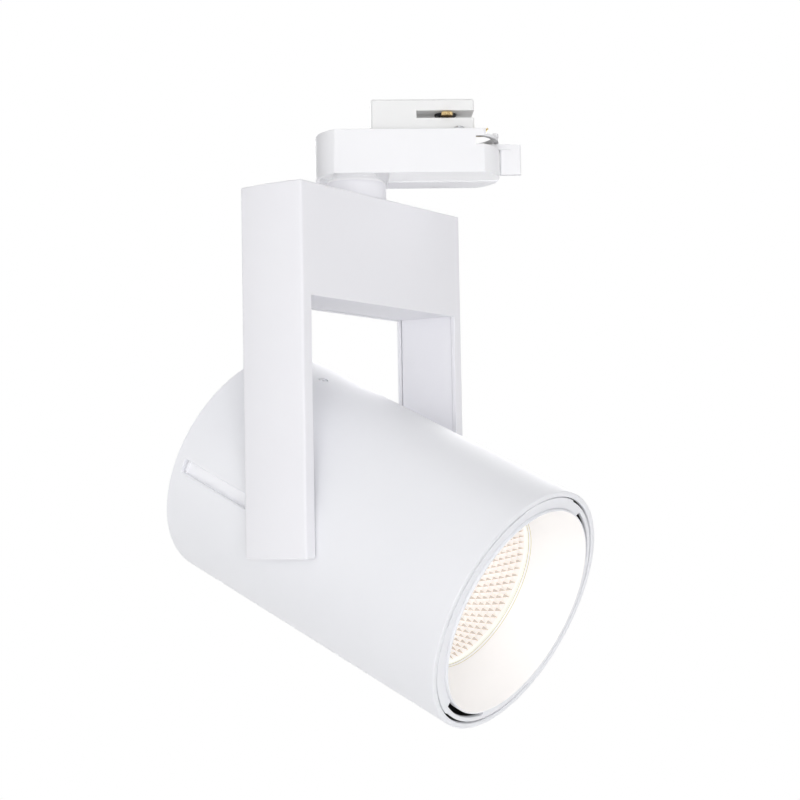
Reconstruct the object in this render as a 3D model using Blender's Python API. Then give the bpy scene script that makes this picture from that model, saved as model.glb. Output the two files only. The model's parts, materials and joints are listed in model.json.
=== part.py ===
"""Track spotlight: a swivelling lamp head in a fork-shaped bracket under a plug-in track adapter.

Every length is in metres and +Z is up.  The origin is on the seat of the adapter, where the swivel
axis meets the underside of the track.  X runs along the track.
"""
from math import asin, cos, pi, radians, sin, sqrt, tau

import bmesh
import bpy

# ---------------------------------------------------------------- driving dimensions

GAP = 0.0003                    # assembly clearance between neighbouring pieces
RUNNING = 0.00006               # radial clearance of the tilt pivots

PAN_AT_REST = radians(53.2)     # bracket turned from the track direction
TILT_AT_REST = radians(25.4)    # lamp nose below the horizontal

# Adapter
ADAPTER_LEFT = -0.0146          # end nearest the swivel
ADAPTER_RIGHT = 0.0535          # end with the lever
ADAPTER_HALF_WIDTH = 0.015
ADAPTER_HEIGHT = 0.0165
ADAPTER_END_RADIUS = 0.0196     # plan radius of both rounded ends
ADAPTER_WALL = 0.0018
ADAPTER_FLOOR = 0.002
HALF_STEP = 0.0004              # far half of the underside hangs this much lower
HALF_STEP_Y = 0.002
POCKET_DEPTH = 0.0021           # recess around the swivel collar
POCKET_LIP = 0.0014
POCKET_END = 0.0124
TOP_PLATE_THICKNESS = 0.002
TOP_PLATE_END = 0.044
PLATE_SCREW_INSET = 0.0028      # from the housing's inner wall
PLATE_SCREW_FIRST = 0.014
PLATE_SCREW_LAST = 0.038
PLATE_SCREW_LENGTH = 0.0045
INSERT_START = 0.006
INSERT_END = 0.044
INSERT_SETBACK = 0.0072         # side of the insert inside the side of the housing
INSERT_HEIGHT = 0.0125
BLADE_LEVEL = 0.0062
BLADE_THICKNESS = 0.0012
BLADE_REACH = 0.0096
BLADE_HALF_WIDTH = 0.002
BLADE_CORNER = 0.001
BLADE_CLEARANCE = 0.0008
BLADE_SLOT_START = -0.0112
EARTH_HALF_WIDTH = 0.0022
EARTH_PLACE_Y = -0.0062
EARTH_REACH = 0.0048
EARTH_RISE = 0.0015
EARTH_THICKNESS = 0.001
TERMINAL_LENGTH = 0.0085
TERMINAL_HALF_WIDTH = 0.0105
TERMINAL_TOP = -0.0055
TERMINAL_PITCH = 0.0065
TERMINAL_WELL_RADIUS = 0.0021
TERMINAL_WELL_FLOOR = -0.0095
TERMINAL_SCREW_SEAT = -0.0082

# Locking lever
LEVER_TRAVEL = radians(45)
LEVER_SLOT_MARGIN = radians(11.6)   # slot beyond the lever's centre line at the end of its travel
LEVER_TOP = -0.0034
LEVER_THICKNESS = 0.002
LEVER_HALF_WIDTH = 0.0022
LEVER_HUB_RADIUS = 0.0062
LEVER_SCREW_RADIUS = 0.0036
TAB_INNER = 0.0199              # from the lever axis
TAB_OUTER = 0.0278
TAB_HALF_WIDTH = 0.0014
TAB_CORNER = 0.0009
TAB_HEIGHT = 0.0112
ROTOR_RADIUS = 0.004
ROTOR_NECK_RADIUS = 0.0026
ROTOR_STEP = 0.001
SLOT_BELOW_LEVER = 0.0004
SLOT_ABOVE_LEVER = 0.0006
SLOT_REACH = 0.03
SLOT_START = 0.008
SLOT_LEAD = radians(8)          # slot ahead of the lever's rest position
NOTCH_FROM = radians(-46)       # window above the slot, seen from the lever axis
NOTCH_TO = radians(-18)
NOTCH_START = 0.0158
NOTCH_DEPTH = 0.0017

# Swivel
COLLAR_SIDE_GAP = 0.0022         # between the collar and the pocket lip
COLLAR_SHOULDER = 0.003
COLLAR_TOP = -0.0161             # flat top of the collar, level with the adapter's underside
COLLAR_BOSS_RADIUS = 0.0082      # spigot from the collar up to the pocket's ceiling
COLLAR_DROP = 0.0084            # visible height below the adapter
NIPPLE_RADIUS = 0.005
NIPPLE_BORE = 0.0036
NUT_FLATS = 0.014
NUT_HEIGHT = 0.003
NIPPLE_ABOVE = 0.0068            # beyond the pocket floor
NIPPLE_BELOW = 0.0072            # beyond the bracket's top
NIPPLE_CHAMFER = 0.0004
FRICTION_RADIUS = 0.0094
STOP_RIM_RADIUS = 0.0085
STOP_TAB_REACH = 0.0115
WASHER_THICKNESS = 0.0008
STOP_RADIUS = 0.0108
STOP_PIN_RADIUS = 0.0008
STOP_TAB_HALF_WIDTH = 0.0007

# Bracket
LAMP_SIDE_CLEARANCE = 0.0006
ARM_THICKNESS = 0.0061
BRACKET_DEPTH = 0.0267
BRACKET_HEIGHT = 0.1295
CROSSBAR_HEIGHT = 0.0395
BRACKET_BULGE = 0.0012
BRACKET_WALL = 0.0016
BRACKET_SKIN = 0.0018
COVER_THICKNESS = 0.0013
COVER_INSET = 0.0004
PIVOT_BELOW_TOP = 0.1179
DRIVER_SIZE = (0.074, 0.021, 0.022)
DRIVER_LID = 0.0025
DRIVER_LIFT = 0.0012             # above the cover
DRIVER_SCREW_INSET = 0.006
SPRING_WASHER_THICKNESS = 0.0005
SLIP_WASHER_RADIUS = 0.0045
HOLLOW_OVERLAP = 0.001           # how far one hollow runs into the next

# Lamp head, measured along its own axis from the tilt pivot
LAMP_RADIUS = 0.045
LAMP_WALL = 0.002
LAMP_REAR = -0.0551
LAMP_FRONT = 0.0722
SLOT_WIDTH = 0.005
SLOT_REAR = -0.0509
BLOCK_HALF_LENGTH = 0.008
BLOCK_SIDE = 0.0011             # flange of the slide block beyond the slot, each side
BLOCK_FLANGE = 0.0009
BLOCK_CLEARANCE = 0.0005         # between the flange and the tube wall
RAIL_SIDE = 0.0015
RAIL_FLOOR = 0.0012
RAIL_END = 0.0015
PIVOT_BOLT_RADIUS = 0.0015
PIVOT_HEAD_RADIUS = 0.0042
CAP_RECESS = 0.0006
CAP_THICKNESS = 0.002
CAP_SCREW_RADIUS = 0.0026
CAP_SHANK_RADIUS = 0.0012
CAP_SCREW_LENGTH = 0.0032
CAP_SCREW_CIRCLE = 2 / 3         # of the lamp radius
SINK_CLEARANCE = 0.0011          # between the fins and the guide rails
SINK_CORE = 0.015
SINK_FINS = 20
FIN_THICKNESS = 0.0014
SINK_LENGTH = 0.052
PLATE_FRONT = 0.0083
PLATE_THICKNESS = 0.004
BOARD_SIDE = 0.026
BOARD_THICKNESS = 0.001
EMITTER_RADIUS = 0.007
EMITTER_THICKNESS = 0.0006
HOLDER_RADIUS = 0.018
HOLDER_EDGE = 0.0018
HOLDER_HEIGHT = 0.0026
HOLDER_SCREW_CIRCLE = 0.0142
THROAT_RADIUS = 0.0083
APERTURE_RADIUS = 0.0295
REFLECTOR_FRONT = 0.0518
REFLECTOR_WALL = 0.001
FLANGE_WIDTH = 0.0034
GLASS_THICKNESS = 0.0015
SEAL_WIDTH = 0.0019
SEAL_BELOW = 0.0008
LIP_SETBACK = 0.0069             # cone lip inside the lamp's outer surface
LIP_HEIGHT = 0.0731
LIP_STRAIGHT = 0.0019
CONE_FOOT = 0.0012
CONE_FOOT_WIDTH = 0.0052
CONE_WALL = 0.0007
RING_TO_CONE = 0.0003
RING_FRONT = 0.0721
RING_THICKNESS = 0.0015
RING_EDGE_GAP = 0.0008
BAYONET_DEPTH = 0.0015
EARS = ((radians(98), radians(21)), (radians(212), radians(28)), (radians(320), radians(6)))
BAYONETS = ((radians(-104), radians(20)), (radians(46), radians(20)))
GRUB_ANGLE = radians(103.6)
GRUB_AT = -0.0298
GRUB_HOLE_RADIUS = 0.0018
GRUB_RADIUS = 0.0015
GRUB_DRIVE_RADIUS = 0.0007
GRUB_DRIVE_DEPTH = 0.001
GRUB_SUNK = 0.0003
GRUB_INNER = 0.002               # how far it stands into the lamp

# Small fasteners
SCREW_HEAD_HEIGHT = 0.0012
SCREW_HEAD_RADIUS = 0.002
SCREW_SHANK_RADIUS = 0.001
SCREW_HOLE_RADIUS = 0.0013
CAP_HOLE_RADIUS = 0.0015

SOFT = 0.0004                    # broken edge of turned pieces
MOULD_SOFT = 0.0003
BRACKET_SOFT = 0.0008
CASE_SOFT = 0.0006
THROUGH = 0.03                   # how far a cutter runs past the piece it cuts

SMALL = 16
ROUND = 32
LARGE = 64

# ---------------------------------------------------------------- derived places

TURN = pi / 2
ADAPTER_UNDERSIDE = -ADAPTER_HEIGHT
POCKET_CEILING = ADAPTER_UNDERSIDE + HALF_STEP + POCKET_DEPTH
POCKET_FLOOR_TOP = POCKET_CEILING + ADAPTER_FLOOR
BRACKET_TOP = ADAPTER_UNDERSIDE + HALF_STEP - COLLAR_DROP
LEVER_X = ADAPTER_RIGHT - ADAPTER_END_RADIUS
INSERT_HALF_WIDTH = ADAPTER_HALF_WIDTH - INSERT_SETBACK
COLLAR_RADIUS = ADAPTER_HALF_WIDTH - POCKET_LIP - COLLAR_SIDE_GAP
ARM_INNER = LAMP_RADIUS + LAMP_SIDE_CLEARANCE
BRACKET_HALF_WIDTH = ARM_INNER + ARM_THICKNESS
COVER_FACE = ARM_INNER + COVER_INSET
SKIN_INNER = BRACKET_HALF_WIDTH - BRACKET_SKIN
SHELL_INNER = LAMP_RADIUS - LAMP_WALL
SLOT_FRONT = BLOCK_HALF_LENGTH + GAP
BLOCK_TOP = SHELL_INNER - BLOCK_CLEARANCE
BLOCK_BOTTOM = BLOCK_TOP - BLOCK_FLANGE
BLOCK_HALF_WIDTH = SLOT_WIDTH / 2 + BLOCK_SIDE
RAIL_TOP = BLOCK_BOTTOM - GAP
RAIL_WALL = BLOCK_HALF_WIDTH + GAP
RAIL_HALF_WIDTH = RAIL_WALL + RAIL_SIDE
SINK_RADIUS = RAIL_TOP - RAIL_FLOOR - SINK_CLEARANCE
ROTOR_SPIGOT_RADIUS = ROTOR_RADIUS - ROTOR_STEP
LIP_RADIUS = LAMP_RADIUS - LIP_SETBACK
RING_INNER = LIP_RADIUS + CONE_WALL + RING_TO_CONE
NIPPLE_HOLE_RADIUS = NIPPLE_RADIUS + GAP
PIVOT_HEIGHT = BRACKET_TOP - PIVOT_BELOW_TOP


# ---------------------------------------------------------------- helpers

def clear_scene():
    for old in list(bpy.data.objects):
        bpy.data.objects.remove(old, do_unlink=True)


def finish(name, look):
    """A piece's own material, from a look of colour, roughness and metallic."""
    colour, roughness, metallic = look
    material = bpy.data.materials.new(name + "_finish")
    material.use_nodes = True
    shader = material.node_tree.nodes["Principled BSDF"]
    shader.inputs["Base Color"].default_value = (*colour, 1.0)
    shader.inputs["Roughness"].default_value = roughness
    shader.inputs["Metallic"].default_value = metallic
    return material


def frame(name, parent=None, place=(0, 0, 0), turn=(0, 0, 0)):
    """An empty that carries the pieces of one moving group."""
    empty = bpy.data.objects.new(name, None)
    bpy.context.collection.objects.link(empty)
    empty.parent = parent
    empty.location = place
    empty.rotation_euler = turn
    return empty


def put(name, mesh_data, look, parent, place=(0, 0, 0), turn=(0, 0, 0)):
    """Turn a bmesh into a named object on its parent."""
    bmesh.ops.recalc_face_normals(mesh_data, faces=mesh_data.faces)
    mesh = bpy.data.meshes.new(name)
    mesh_data.to_mesh(mesh)
    mesh_data.free()
    for polygon in mesh.polygons:
        polygon.use_smooth = True
    mesh.set_sharp_from_angle(angle=radians(32))
    piece = bpy.data.objects.new(name, mesh)
    bpy.context.collection.objects.link(piece)
    if look:
        mesh.materials.append(finish(name, look))
    piece.parent = parent
    piece.location = place
    piece.rotation_euler = turn
    return piece


def turned_mesh(outline, steps):
    """Spin a closed outline of (radius, height) points about Z."""
    shape = bmesh.new()
    points = [shape.verts.new((radius, 0, height)) for radius, height in outline]
    edges = []
    for first, second in zip(points, points[1:] + points[:1]):
        on_axis = first.co.x == 0 and second.co.x == 0
        if not on_axis:
            edges.append(shape.edges.new((first, second)))
    bmesh.ops.spin(shape, geom=points + edges, cent=(0, 0, 0), axis=(0, 0, 1), angle=tau,
                   steps=steps, use_merge=True)
    bmesh.ops.remove_doubles(shape, verts=shape.verts, dist=1e-7)
    return shape


def turned(name, outline, look, parent, steps=ROUND, **pose):
    return put(name, turned_mesh(outline, steps), look, parent, **pose)


def prism_mesh(outline, low, high):
    """Extrude a closed (x, y) outline from one height to another."""
    shape = bmesh.new()
    base = shape.faces.new([shape.verts.new((x, y, low)) for x, y in outline])
    lifted = bmesh.ops.extrude_face_region(shape, geom=[base])["geom"]
    rising = [item for item in lifted if isinstance(item, bmesh.types.BMVert)]
    bmesh.ops.translate(shape, verts=rising, vec=(0, 0, high - low))
    return shape


def prism(name, outline, low, high, look, parent, **pose):
    return put(name, prism_mesh(outline, low, high), look, parent, **pose)


def ring_prism(name, outer, inner, low, high, look, parent, **pose):
    """A plate with a hole: two outlines of the same number of (x, y) points."""
    shape = bmesh.new()
    loops = []
    for outline, height in ((outer, low), (outer, high), (inner, high), (inner, low)):
        loops.append([shape.verts.new((x, y, height)) for x, y in outline])
    count = len(outer)
    for index in range(count):
        following = (index + 1) % count
        for loop, nearby in zip(loops, loops[1:] + loops[:1]):
            shape.faces.new((loop[index], loop[following], nearby[following], nearby[index]))
    return put(name, shape, look, parent, **pose)


def rectangle(x_low, x_high, y_low, y_high):
    return [(x_low, y_low), (x_high, y_low), (x_high, y_high), (x_low, y_high)]


def box(name, low, high, look, parent, **pose):
    outline = rectangle(low[0], high[0], low[1], high[1])
    return prism(name, outline, low[2], high[2], look, parent, **pose)


def circle(radius, steps, centre=(0, 0)):
    return [(centre[0] + radius * cos(tau * step / steps), centre[1] + radius * sin(tau * step / steps))
            for step in range(steps)]


def arc(radius, start, end, steps, centre=(0, 0)):
    angles = [start + (end - start) * step / steps for step in range(steps + 1)]
    return [(centre[0] + radius * cos(angle), centre[1] + radius * sin(angle)) for angle in angles]


def tube_outline(inner, outer, low, high, soft=0.0):
    """Section of a plain ring with its outer corners broken by the given amount."""
    return [(inner, low), (outer - soft, low), (outer, low + soft), (outer, high - soft),
            (outer - soft, high), (inner, high)]


def soften(piece, width, segments=2, angle=40):
    bevel = piece.modifiers.new("soft_edges", "BEVEL")
    bevel.width = width
    bevel.segments = segments
    bevel.limit_method = "ANGLE"
    bevel.angle_limit = radians(angle)
    bevel.harden_normals = False
    return piece


def combine(piece, operation, *tools):
    """Join or subtract closed tools; they stay in the file as hidden wire objects."""
    for tool in tools:
        tool.hide_render = True
        tool.display_type = "WIRE"
        boolean = piece.modifiers.new("with_" + tool.name, "BOOLEAN")
        boolean.operation = operation
        boolean.solver = "EXACT"
        boolean.object = tool
    return piece


def cut(piece, *cutters):
    return combine(piece, "DIFFERENCE", *cutters)


def screw(name, length, parent, radius=SCREW_HEAD_RADIUS, shank=SCREW_SHANK_RADIUS, **pose):
    """A cheese-head screw along Z: the head stands on z = 0 and the shank hangs below it."""
    recess = 0.4 * radius
    drive = SCREW_HEAD_HEIGHT / 2
    outline = [(0, -length), (shank, -length), (shank, 0), (radius, 0), (radius, SCREW_HEAD_HEIGHT - SOFT),
               (radius - SOFT, SCREW_HEAD_HEIGHT), (recess, SCREW_HEAD_HEIGHT), (recess, drive), (0, drive)]
    return turned(name, outline, STEEL, parent, steps=SMALL, **pose)


def hexagon(flats, steps):
    """Hexagon points spaced like a circle's, so that a nut can be a ring prism."""
    points = []
    for step in range(steps):
        angle = tau * step / steps
        from_flat = (angle + pi / 6) % (pi / 3) - pi / 6
        reach = flats / 2 / cos(from_flat)
        points.append((reach * cos(angle), reach * sin(angle)))
    return points


def nut(name, flats, bore, low, high, look, parent, **pose):
    return ring_prism(name, hexagon(flats, SMALL), circle(bore, SMALL), low, high, look, parent, **pose)


# ---------------------------------------------------------------- looks and moving groups

clear_scene()

WHITE_COAT = ((0.86, 0.86, 0.87), 0.5, 0.0)
WHITE_PLASTIC = ((0.87, 0.87, 0.88), 0.42, 0.0)
CONE_WHITE = ((0.93, 0.92, 0.89), 0.35, 0.0)
SILVER_FACETS = ((0.86, 0.83, 0.78), 0.16, 1.0)
CLEAR_GLASS = ((0.9, 0.95, 0.9), 0.05, 0.0)
BRASS = ((0.78, 0.58, 0.28), 0.3, 1.0)
STEEL = ((0.62, 0.63, 0.65), 0.35, 1.0)
ALUMINIUM = ((0.72, 0.73, 0.75), 0.4, 1.0)
DARK_PLASTIC = ((0.05, 0.05, 0.055), 0.5, 0.0)
CERAMIC = ((0.88, 0.88, 0.86), 0.5, 0.0)
PHOSPHOR = ((0.95, 0.78, 0.25), 0.5, 0.0)

adapter = frame("adapter_frame")
lever = frame("lever_frame", adapter, place=(LEVER_X, 0, 0))
swivel = frame("swivel_frame", adapter, turn=(0, 0, PAN_AT_REST))
tilt = frame("tilt_frame", swivel, place=(0, 0, PIVOT_HEIGHT), turn=(TILT_AT_REST, 0, 0))
lamp = frame("lamp_frame", tilt, turn=(TURN, 0, 0))


# ---------------------------------------------------------------- adapter

def adapter_plan(inset=0.0, left=ADAPTER_LEFT, right=ADAPTER_RIGHT):
    """Long flat sides and an arc at each end, drawn inward by the inset."""
    radius = ADAPTER_END_RADIUS - inset
    half_width = ADAPTER_HALF_WIDTH - inset
    spread = asin(half_width / radius)
    steps = 12
    far_end = arc(radius, -spread, spread, steps, (right - ADAPTER_END_RADIUS, 0))
    near_end = arc(radius, pi - spread, pi + spread, steps, (left + ADAPTER_END_RADIUS, 0))
    return far_end + near_end


def clipped(outline, x_low, x_high):
    """The same outline held between two X limits."""
    return [(min(max(x, x_low), x_high), y) for x, y in outline]


def make_adapter_housing():
    housing = prism("adapter_housing", adapter_plan(), ADAPTER_UNDERSIDE, 0, WHITE_PLASTIC, adapter)
    soften(housing, MOULD_SOFT, 2, 50)
    step_x = POCKET_END + ADAPTER_WALL
    inside = adapter_plan(ADAPTER_WALL)
    low_floor = ADAPTER_UNDERSIDE + HALF_STEP + ADAPTER_FLOOR
    low_cavity = prism("housing_low_cavity", clipped(inside, step_x, ADAPTER_RIGHT), low_floor, THROUGH,
                       None, adapter)
    high_cavity = prism("housing_high_cavity", clipped(inside, ADAPTER_LEFT, step_x + HOLLOW_OVERLAP),
                        POCKET_FLOOR_TOP, THROUGH, None, adapter)
    pocket = prism("housing_pocket", clipped(adapter_plan(POCKET_LIP), ADAPTER_LEFT, POCKET_END), -THROUGH,
                   POCKET_CEILING, None, adapter)
    near_half = box("housing_near_half", (ADAPTER_LEFT - THROUGH, -ADAPTER_HALF_WIDTH - THROUGH, -THROUGH),
                    (ADAPTER_RIGHT + THROUGH, HALF_STEP_Y, ADAPTER_UNDERSIDE + HALF_STEP), None, adapter)
    hole = prism("housing_nipple_hole", circle(NIPPLE_HOLE_RADIUS, ROUND), -THROUGH, THROUGH, None, adapter)
    sweep = -(LEVER_TRAVEL + LEVER_SLOT_MARGIN)
    slot_outline = arc(SLOT_REACH, sweep, SLOT_LEAD, 10) + [
        (SLOT_START, LEVER_HALF_WIDTH), (SLOT_START * cos(sweep), SLOT_START * sin(sweep))]
    slot = prism("housing_lever_slot", slot_outline, LEVER_TOP - LEVER_THICKNESS - SLOT_BELOW_LEVER,
                 LEVER_TOP + SLOT_ABOVE_LEVER, None, lever)
    notch_outline = arc(SLOT_REACH, NOTCH_FROM, NOTCH_TO, 6) + arc(NOTCH_START, NOTCH_TO, NOTCH_FROM, 6)
    notch = prism("housing_contact_notch", notch_outline, -NOTCH_DEPTH, THROUGH, None, lever)
    cut(housing, low_cavity, high_cavity, pocket, near_half, hole, slot, notch)


def make_top_plate():
    plate = prism("adapter_top_plate", clipped(adapter_plan(ADAPTER_WALL + GAP), ADAPTER_LEFT, TOP_PLATE_END),
                  -TOP_PLATE_THICKNESS, 0, WHITE_PLASTIC, adapter)
    shaft_hole = prism("plate_shaft_hole", circle(ROTOR_RADIUS + GAP, ROUND), -THROUGH, THROUGH, None, lever)
    screw_holes = []
    for index, (x, y) in enumerate(plate_screw_places()):
        screw_holes.append(prism("plate_screw_hole_%d" % index, circle(SCREW_HOLE_RADIUS, SMALL), -THROUGH,
                                 THROUGH, None, adapter, place=(x, y, 0)))
    cut(plate, shaft_hole, *screw_holes)


def plate_screw_places():
    aside = ADAPTER_HALF_WIDTH - ADAPTER_WALL - PLATE_SCREW_INSET
    return [(PLATE_SCREW_FIRST, aside), (PLATE_SCREW_LAST, -aside)]


def make_plate_screws():
    for index, (x, y) in enumerate(plate_screw_places()):
        screw("plate_screw_%d" % (index + 1), PLATE_SCREW_LENGTH, adapter, place=(x, y, GAP))


def make_track_insert():
    """The narrow body that enters the track, slotted for the turning contact blades."""
    body = box("track_insert", (INSERT_START, -INSERT_HALF_WIDTH, GAP),
               (INSERT_END, INSERT_HALF_WIDTH, INSERT_HEIGHT), WHITE_PLASTIC, adapter)
    soften(body, CASE_SOFT, 1, 50)
    shaft_hole = prism("insert_shaft_hole", circle(ROTOR_RADIUS + GAP, ROUND), -THROUGH, THROUGH, None, lever)
    blade_slot = box("insert_blade_slot", (BLADE_SLOT_START, -THROUGH, BLADE_LEVEL - BLADE_CLEARANCE),
                     (THROUGH, THROUGH, BLADE_LEVEL + BLADE_THICKNESS + BLADE_CLEARANCE), None, lever)
    cut(body, shaft_hole, blade_slot)


def make_contact_rotor():
    """Shaft that turns with the lever and swings the contact blades into the track."""
    bottom = LEVER_TOP - LEVER_THICKNESS
    shoulder = LEVER_TOP + GAP
    under = BLADE_LEVEL - GAP
    over = BLADE_LEVEL + BLADE_THICKNESS + GAP
    top = INSERT_HEIGHT - ROTOR_STEP
    outline = [(0, bottom), (ROTOR_SPIGOT_RADIUS, bottom), (ROTOR_SPIGOT_RADIUS, shoulder),
               (ROTOR_RADIUS, shoulder), (ROTOR_RADIUS, under), (ROTOR_NECK_RADIUS, under),
               (ROTOR_NECK_RADIUS, over), (ROTOR_RADIUS, over), (ROTOR_RADIUS, top), (0, top)]
    turned("contact_rotor", outline, DARK_PLASTIC, lever, steps=SMALL)
    root = ROTOR_NECK_RADIUS + GAP
    side = BLADE_HALF_WIDTH
    blade = [(-side, root), (side, root), (side, BLADE_REACH - BLADE_CORNER),
             (side - BLADE_CORNER, BLADE_REACH), (BLADE_CORNER - side, BLADE_REACH),
             (-side, BLADE_REACH - BLADE_CORNER)]
    top = BLADE_LEVEL + BLADE_THICKNESS
    prism("line_contact_blade", blade, BLADE_LEVEL, top, BRASS, lever)
    prism("neutral_contact_blade", blade, BLADE_LEVEL, top, BRASS, lever, turn=(0, 0, pi))


def make_earth_contact():
    """Spring tongue at the lever end that touches the earthed rail of the track."""
    bend = EARTH_REACH * 2 / 3
    low = -EARTH_THICKNESS
    outline = [(0, low), (bend, low), (EARTH_REACH, EARTH_RISE - EARTH_THICKNESS / 2),
               (EARTH_REACH - EARTH_THICKNESS / 2, EARTH_RISE), (bend - EARTH_THICKNESS / 2, 0), (0, 0)]
    prism("earth_contact", outline, -EARTH_HALF_WIDTH, EARTH_HALF_WIDTH, BRASS, adapter,
          place=(TOP_PLATE_END + GAP, EARTH_PLACE_Y, 0), turn=(TURN, 0, 0))


def make_terminal_block():
    start = POCKET_END + ADAPTER_WALL + 2 * GAP
    floor = ADAPTER_UNDERSIDE + ADAPTER_FLOOR + HALF_STEP + GAP
    block = box("terminal_block", (start, -TERMINAL_HALF_WIDTH, floor),
                (start + TERMINAL_LENGTH, TERMINAL_HALF_WIDTH, TERMINAL_TOP), WHITE_PLASTIC, adapter)
    wells = []
    middle = start + TERMINAL_LENGTH / 2
    for index in range(3):
        y = (index - 1) * TERMINAL_PITCH
        wells.append(prism("terminal_well_%d" % index, circle(TERMINAL_WELL_RADIUS, SMALL), TERMINAL_WELL_FLOOR,
                           0, None, adapter, place=(middle, y, 0)))
        screw("terminal_screw_%d" % (index + 1), SCREW_SHANK_RADIUS, adapter,
              radius=TERMINAL_WELL_RADIUS - SOFT, place=(middle, y, TERMINAL_SCREW_SEAT))
    cut(block, *wells)


def make_lever():
    """Flat arm on the rotor with a thin thumb tab that hangs beyond the end of the housing."""
    low = LEVER_TOP - LEVER_THICKNESS
    meet = asin(LEVER_HALF_WIDTH / LEVER_HUB_RADIUS)
    reach = (TAB_INNER + TAB_OUTER) / 2
    outline = arc(LEVER_HUB_RADIUS, meet, tau - meet, 16)
    outline += [(reach, -LEVER_HALF_WIDTH), (reach, LEVER_HALF_WIDTH)]
    arm = prism("lever", outline, low, LEVER_TOP, WHITE_PLASTIC, lever)
    tab = prism("lever_tab_form", tab_outline(), LEVER_TOP - TAB_HEIGHT, LEVER_TOP, None, lever)
    bore = prism("lever_bore", circle(ROTOR_SPIGOT_RADIUS + GAP, SMALL), -THROUGH, THROUGH, None, lever)
    combine(arm, "UNION", tab)
    cut(arm, bore)
    screw("lever_screw", 0.0, lever, radius=LEVER_SCREW_RADIUS, place=(0, 0, low - GAP), turn=(pi, 0, 0))


def tab_outline():
    """Plan of the thumb tab: a thin strip with rounded ends."""
    outline = []
    corners = ((TAB_OUTER - TAB_CORNER, 1), (TAB_INNER + TAB_CORNER, 1), (TAB_INNER + TAB_CORNER, -1),
               (TAB_OUTER - TAB_CORNER, -1))
    for quarter, (x, side) in enumerate(corners):
        centre = (x, side * (TAB_HALF_WIDTH - TAB_CORNER))
        outline += arc(TAB_CORNER, quarter * TURN, (quarter + 1) * TURN, 3, centre)
    return outline


# ---------------------------------------------------------------- swivel

def make_swivel():
    bottom = BRACKET_TOP + GAP
    middle = (COLLAR_RADIUS - COLLAR_SHOULDER, COLLAR_TOP - COLLAR_SHOULDER)
    shoulder = arc(COLLAR_SHOULDER, 0, TURN, 5, middle)
    boss_top = POCKET_CEILING - GAP
    collar = [(NIPPLE_HOLE_RADIUS, bottom), (COLLAR_RADIUS, bottom)] + shoulder
    collar += [(COLLAR_BOSS_RADIUS, COLLAR_TOP), (COLLAR_BOSS_RADIUS, boss_top), (NIPPLE_HOLE_RADIUS, boss_top)]
    turned("swivel_collar", collar, WHITE_COAT, swivel)

    nipple = tube_outline(NIPPLE_BORE, NIPPLE_RADIUS, BRACKET_TOP - NIPPLE_BELOW,
                          POCKET_FLOOR_TOP + NIPPLE_ABOVE, NIPPLE_CHAMFER)
    turned("threaded_nipple", nipple, STEEL, swivel, steps=SMALL)

    level = POCKET_FLOOR_TOP + GAP
    washer = tube_outline(NIPPLE_HOLE_RADIUS, FRICTION_RADIUS, level, level + WASHER_THICKNESS)
    turned("friction_washer", washer, DARK_PLASTIC, adapter, steps=SMALL)
    level += WASHER_THICKNESS + GAP
    make_stop_washer(level)
    pin_top = level + WASHER_THICKNESS
    pin = tube_outline(0, STOP_PIN_RADIUS, POCKET_FLOOR_TOP + GAP, pin_top)
    turned("stop_pin", pin, STEEL, adapter, steps=SMALL, place=(-STOP_RADIUS, 0, 0))
    level = pin_top + GAP
    nut("swivel_nut", NUT_FLATS, NIPPLE_HOLE_RADIUS, level, level + NUT_HEIGHT, STEEL, swivel)
    below = BRACKET_TOP - BRACKET_SKIN - GAP
    nut("bracket_nut", NUT_FLATS, NIPPLE_HOLE_RADIUS, below - NUT_HEIGHT, below, STEEL, swivel)


def make_stop_washer(level):
    """Washer that turns with the bracket; its tab meets the stop pin near half a turn each way."""
    meet = asin(STOP_TAB_HALF_WIDTH / STOP_RIM_RADIUS)
    rim = arc(STOP_RIM_RADIUS, meet, tau - meet, SMALL - 3)
    outer = [(STOP_TAB_REACH, STOP_TAB_HALF_WIDTH)] + rim + [(STOP_TAB_REACH, -STOP_TAB_HALF_WIDTH)]
    ring_prism("stop_washer", outer, circle(NIPPLE_HOLE_RADIUS, SMALL), level, level + WASHER_THICKNESS, STEEL,
               swivel)


# ---------------------------------------------------------------- bracket

def bracket_plan():
    """Plan of the bracket: flat front and back, gently bulging ends."""
    half_depth = BRACKET_DEPTH / 2
    radius = (half_depth ** 2 + BRACKET_BULGE ** 2) / (2 * BRACKET_BULGE)
    spread = asin(half_depth / radius)
    centre = BRACKET_HALF_WIDTH - radius
    right = arc(radius, -spread, spread, 8, (centre, 0))
    left = [(-x, -y) for x, y in right]
    return right + left


def across(name, outline, half_depth, look=None):
    """A prism whose (x, z) outline is drawn in the bracket's front plane."""
    return prism(name, outline, -half_depth, half_depth, look, swivel, place=(0, 0, BRACKET_TOP),
                 turn=(TURN, 0, 0))


def fork_outline(outer_half, top, inner_half, inner_top, bottom):
    """An upside-down U in the bracket's front plane."""
    return [(-outer_half, bottom), (-inner_half, bottom), (-inner_half, inner_top), (inner_half, inner_top),
            (inner_half, bottom), (outer_half, bottom), (outer_half, top), (-outer_half, top)]


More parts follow.
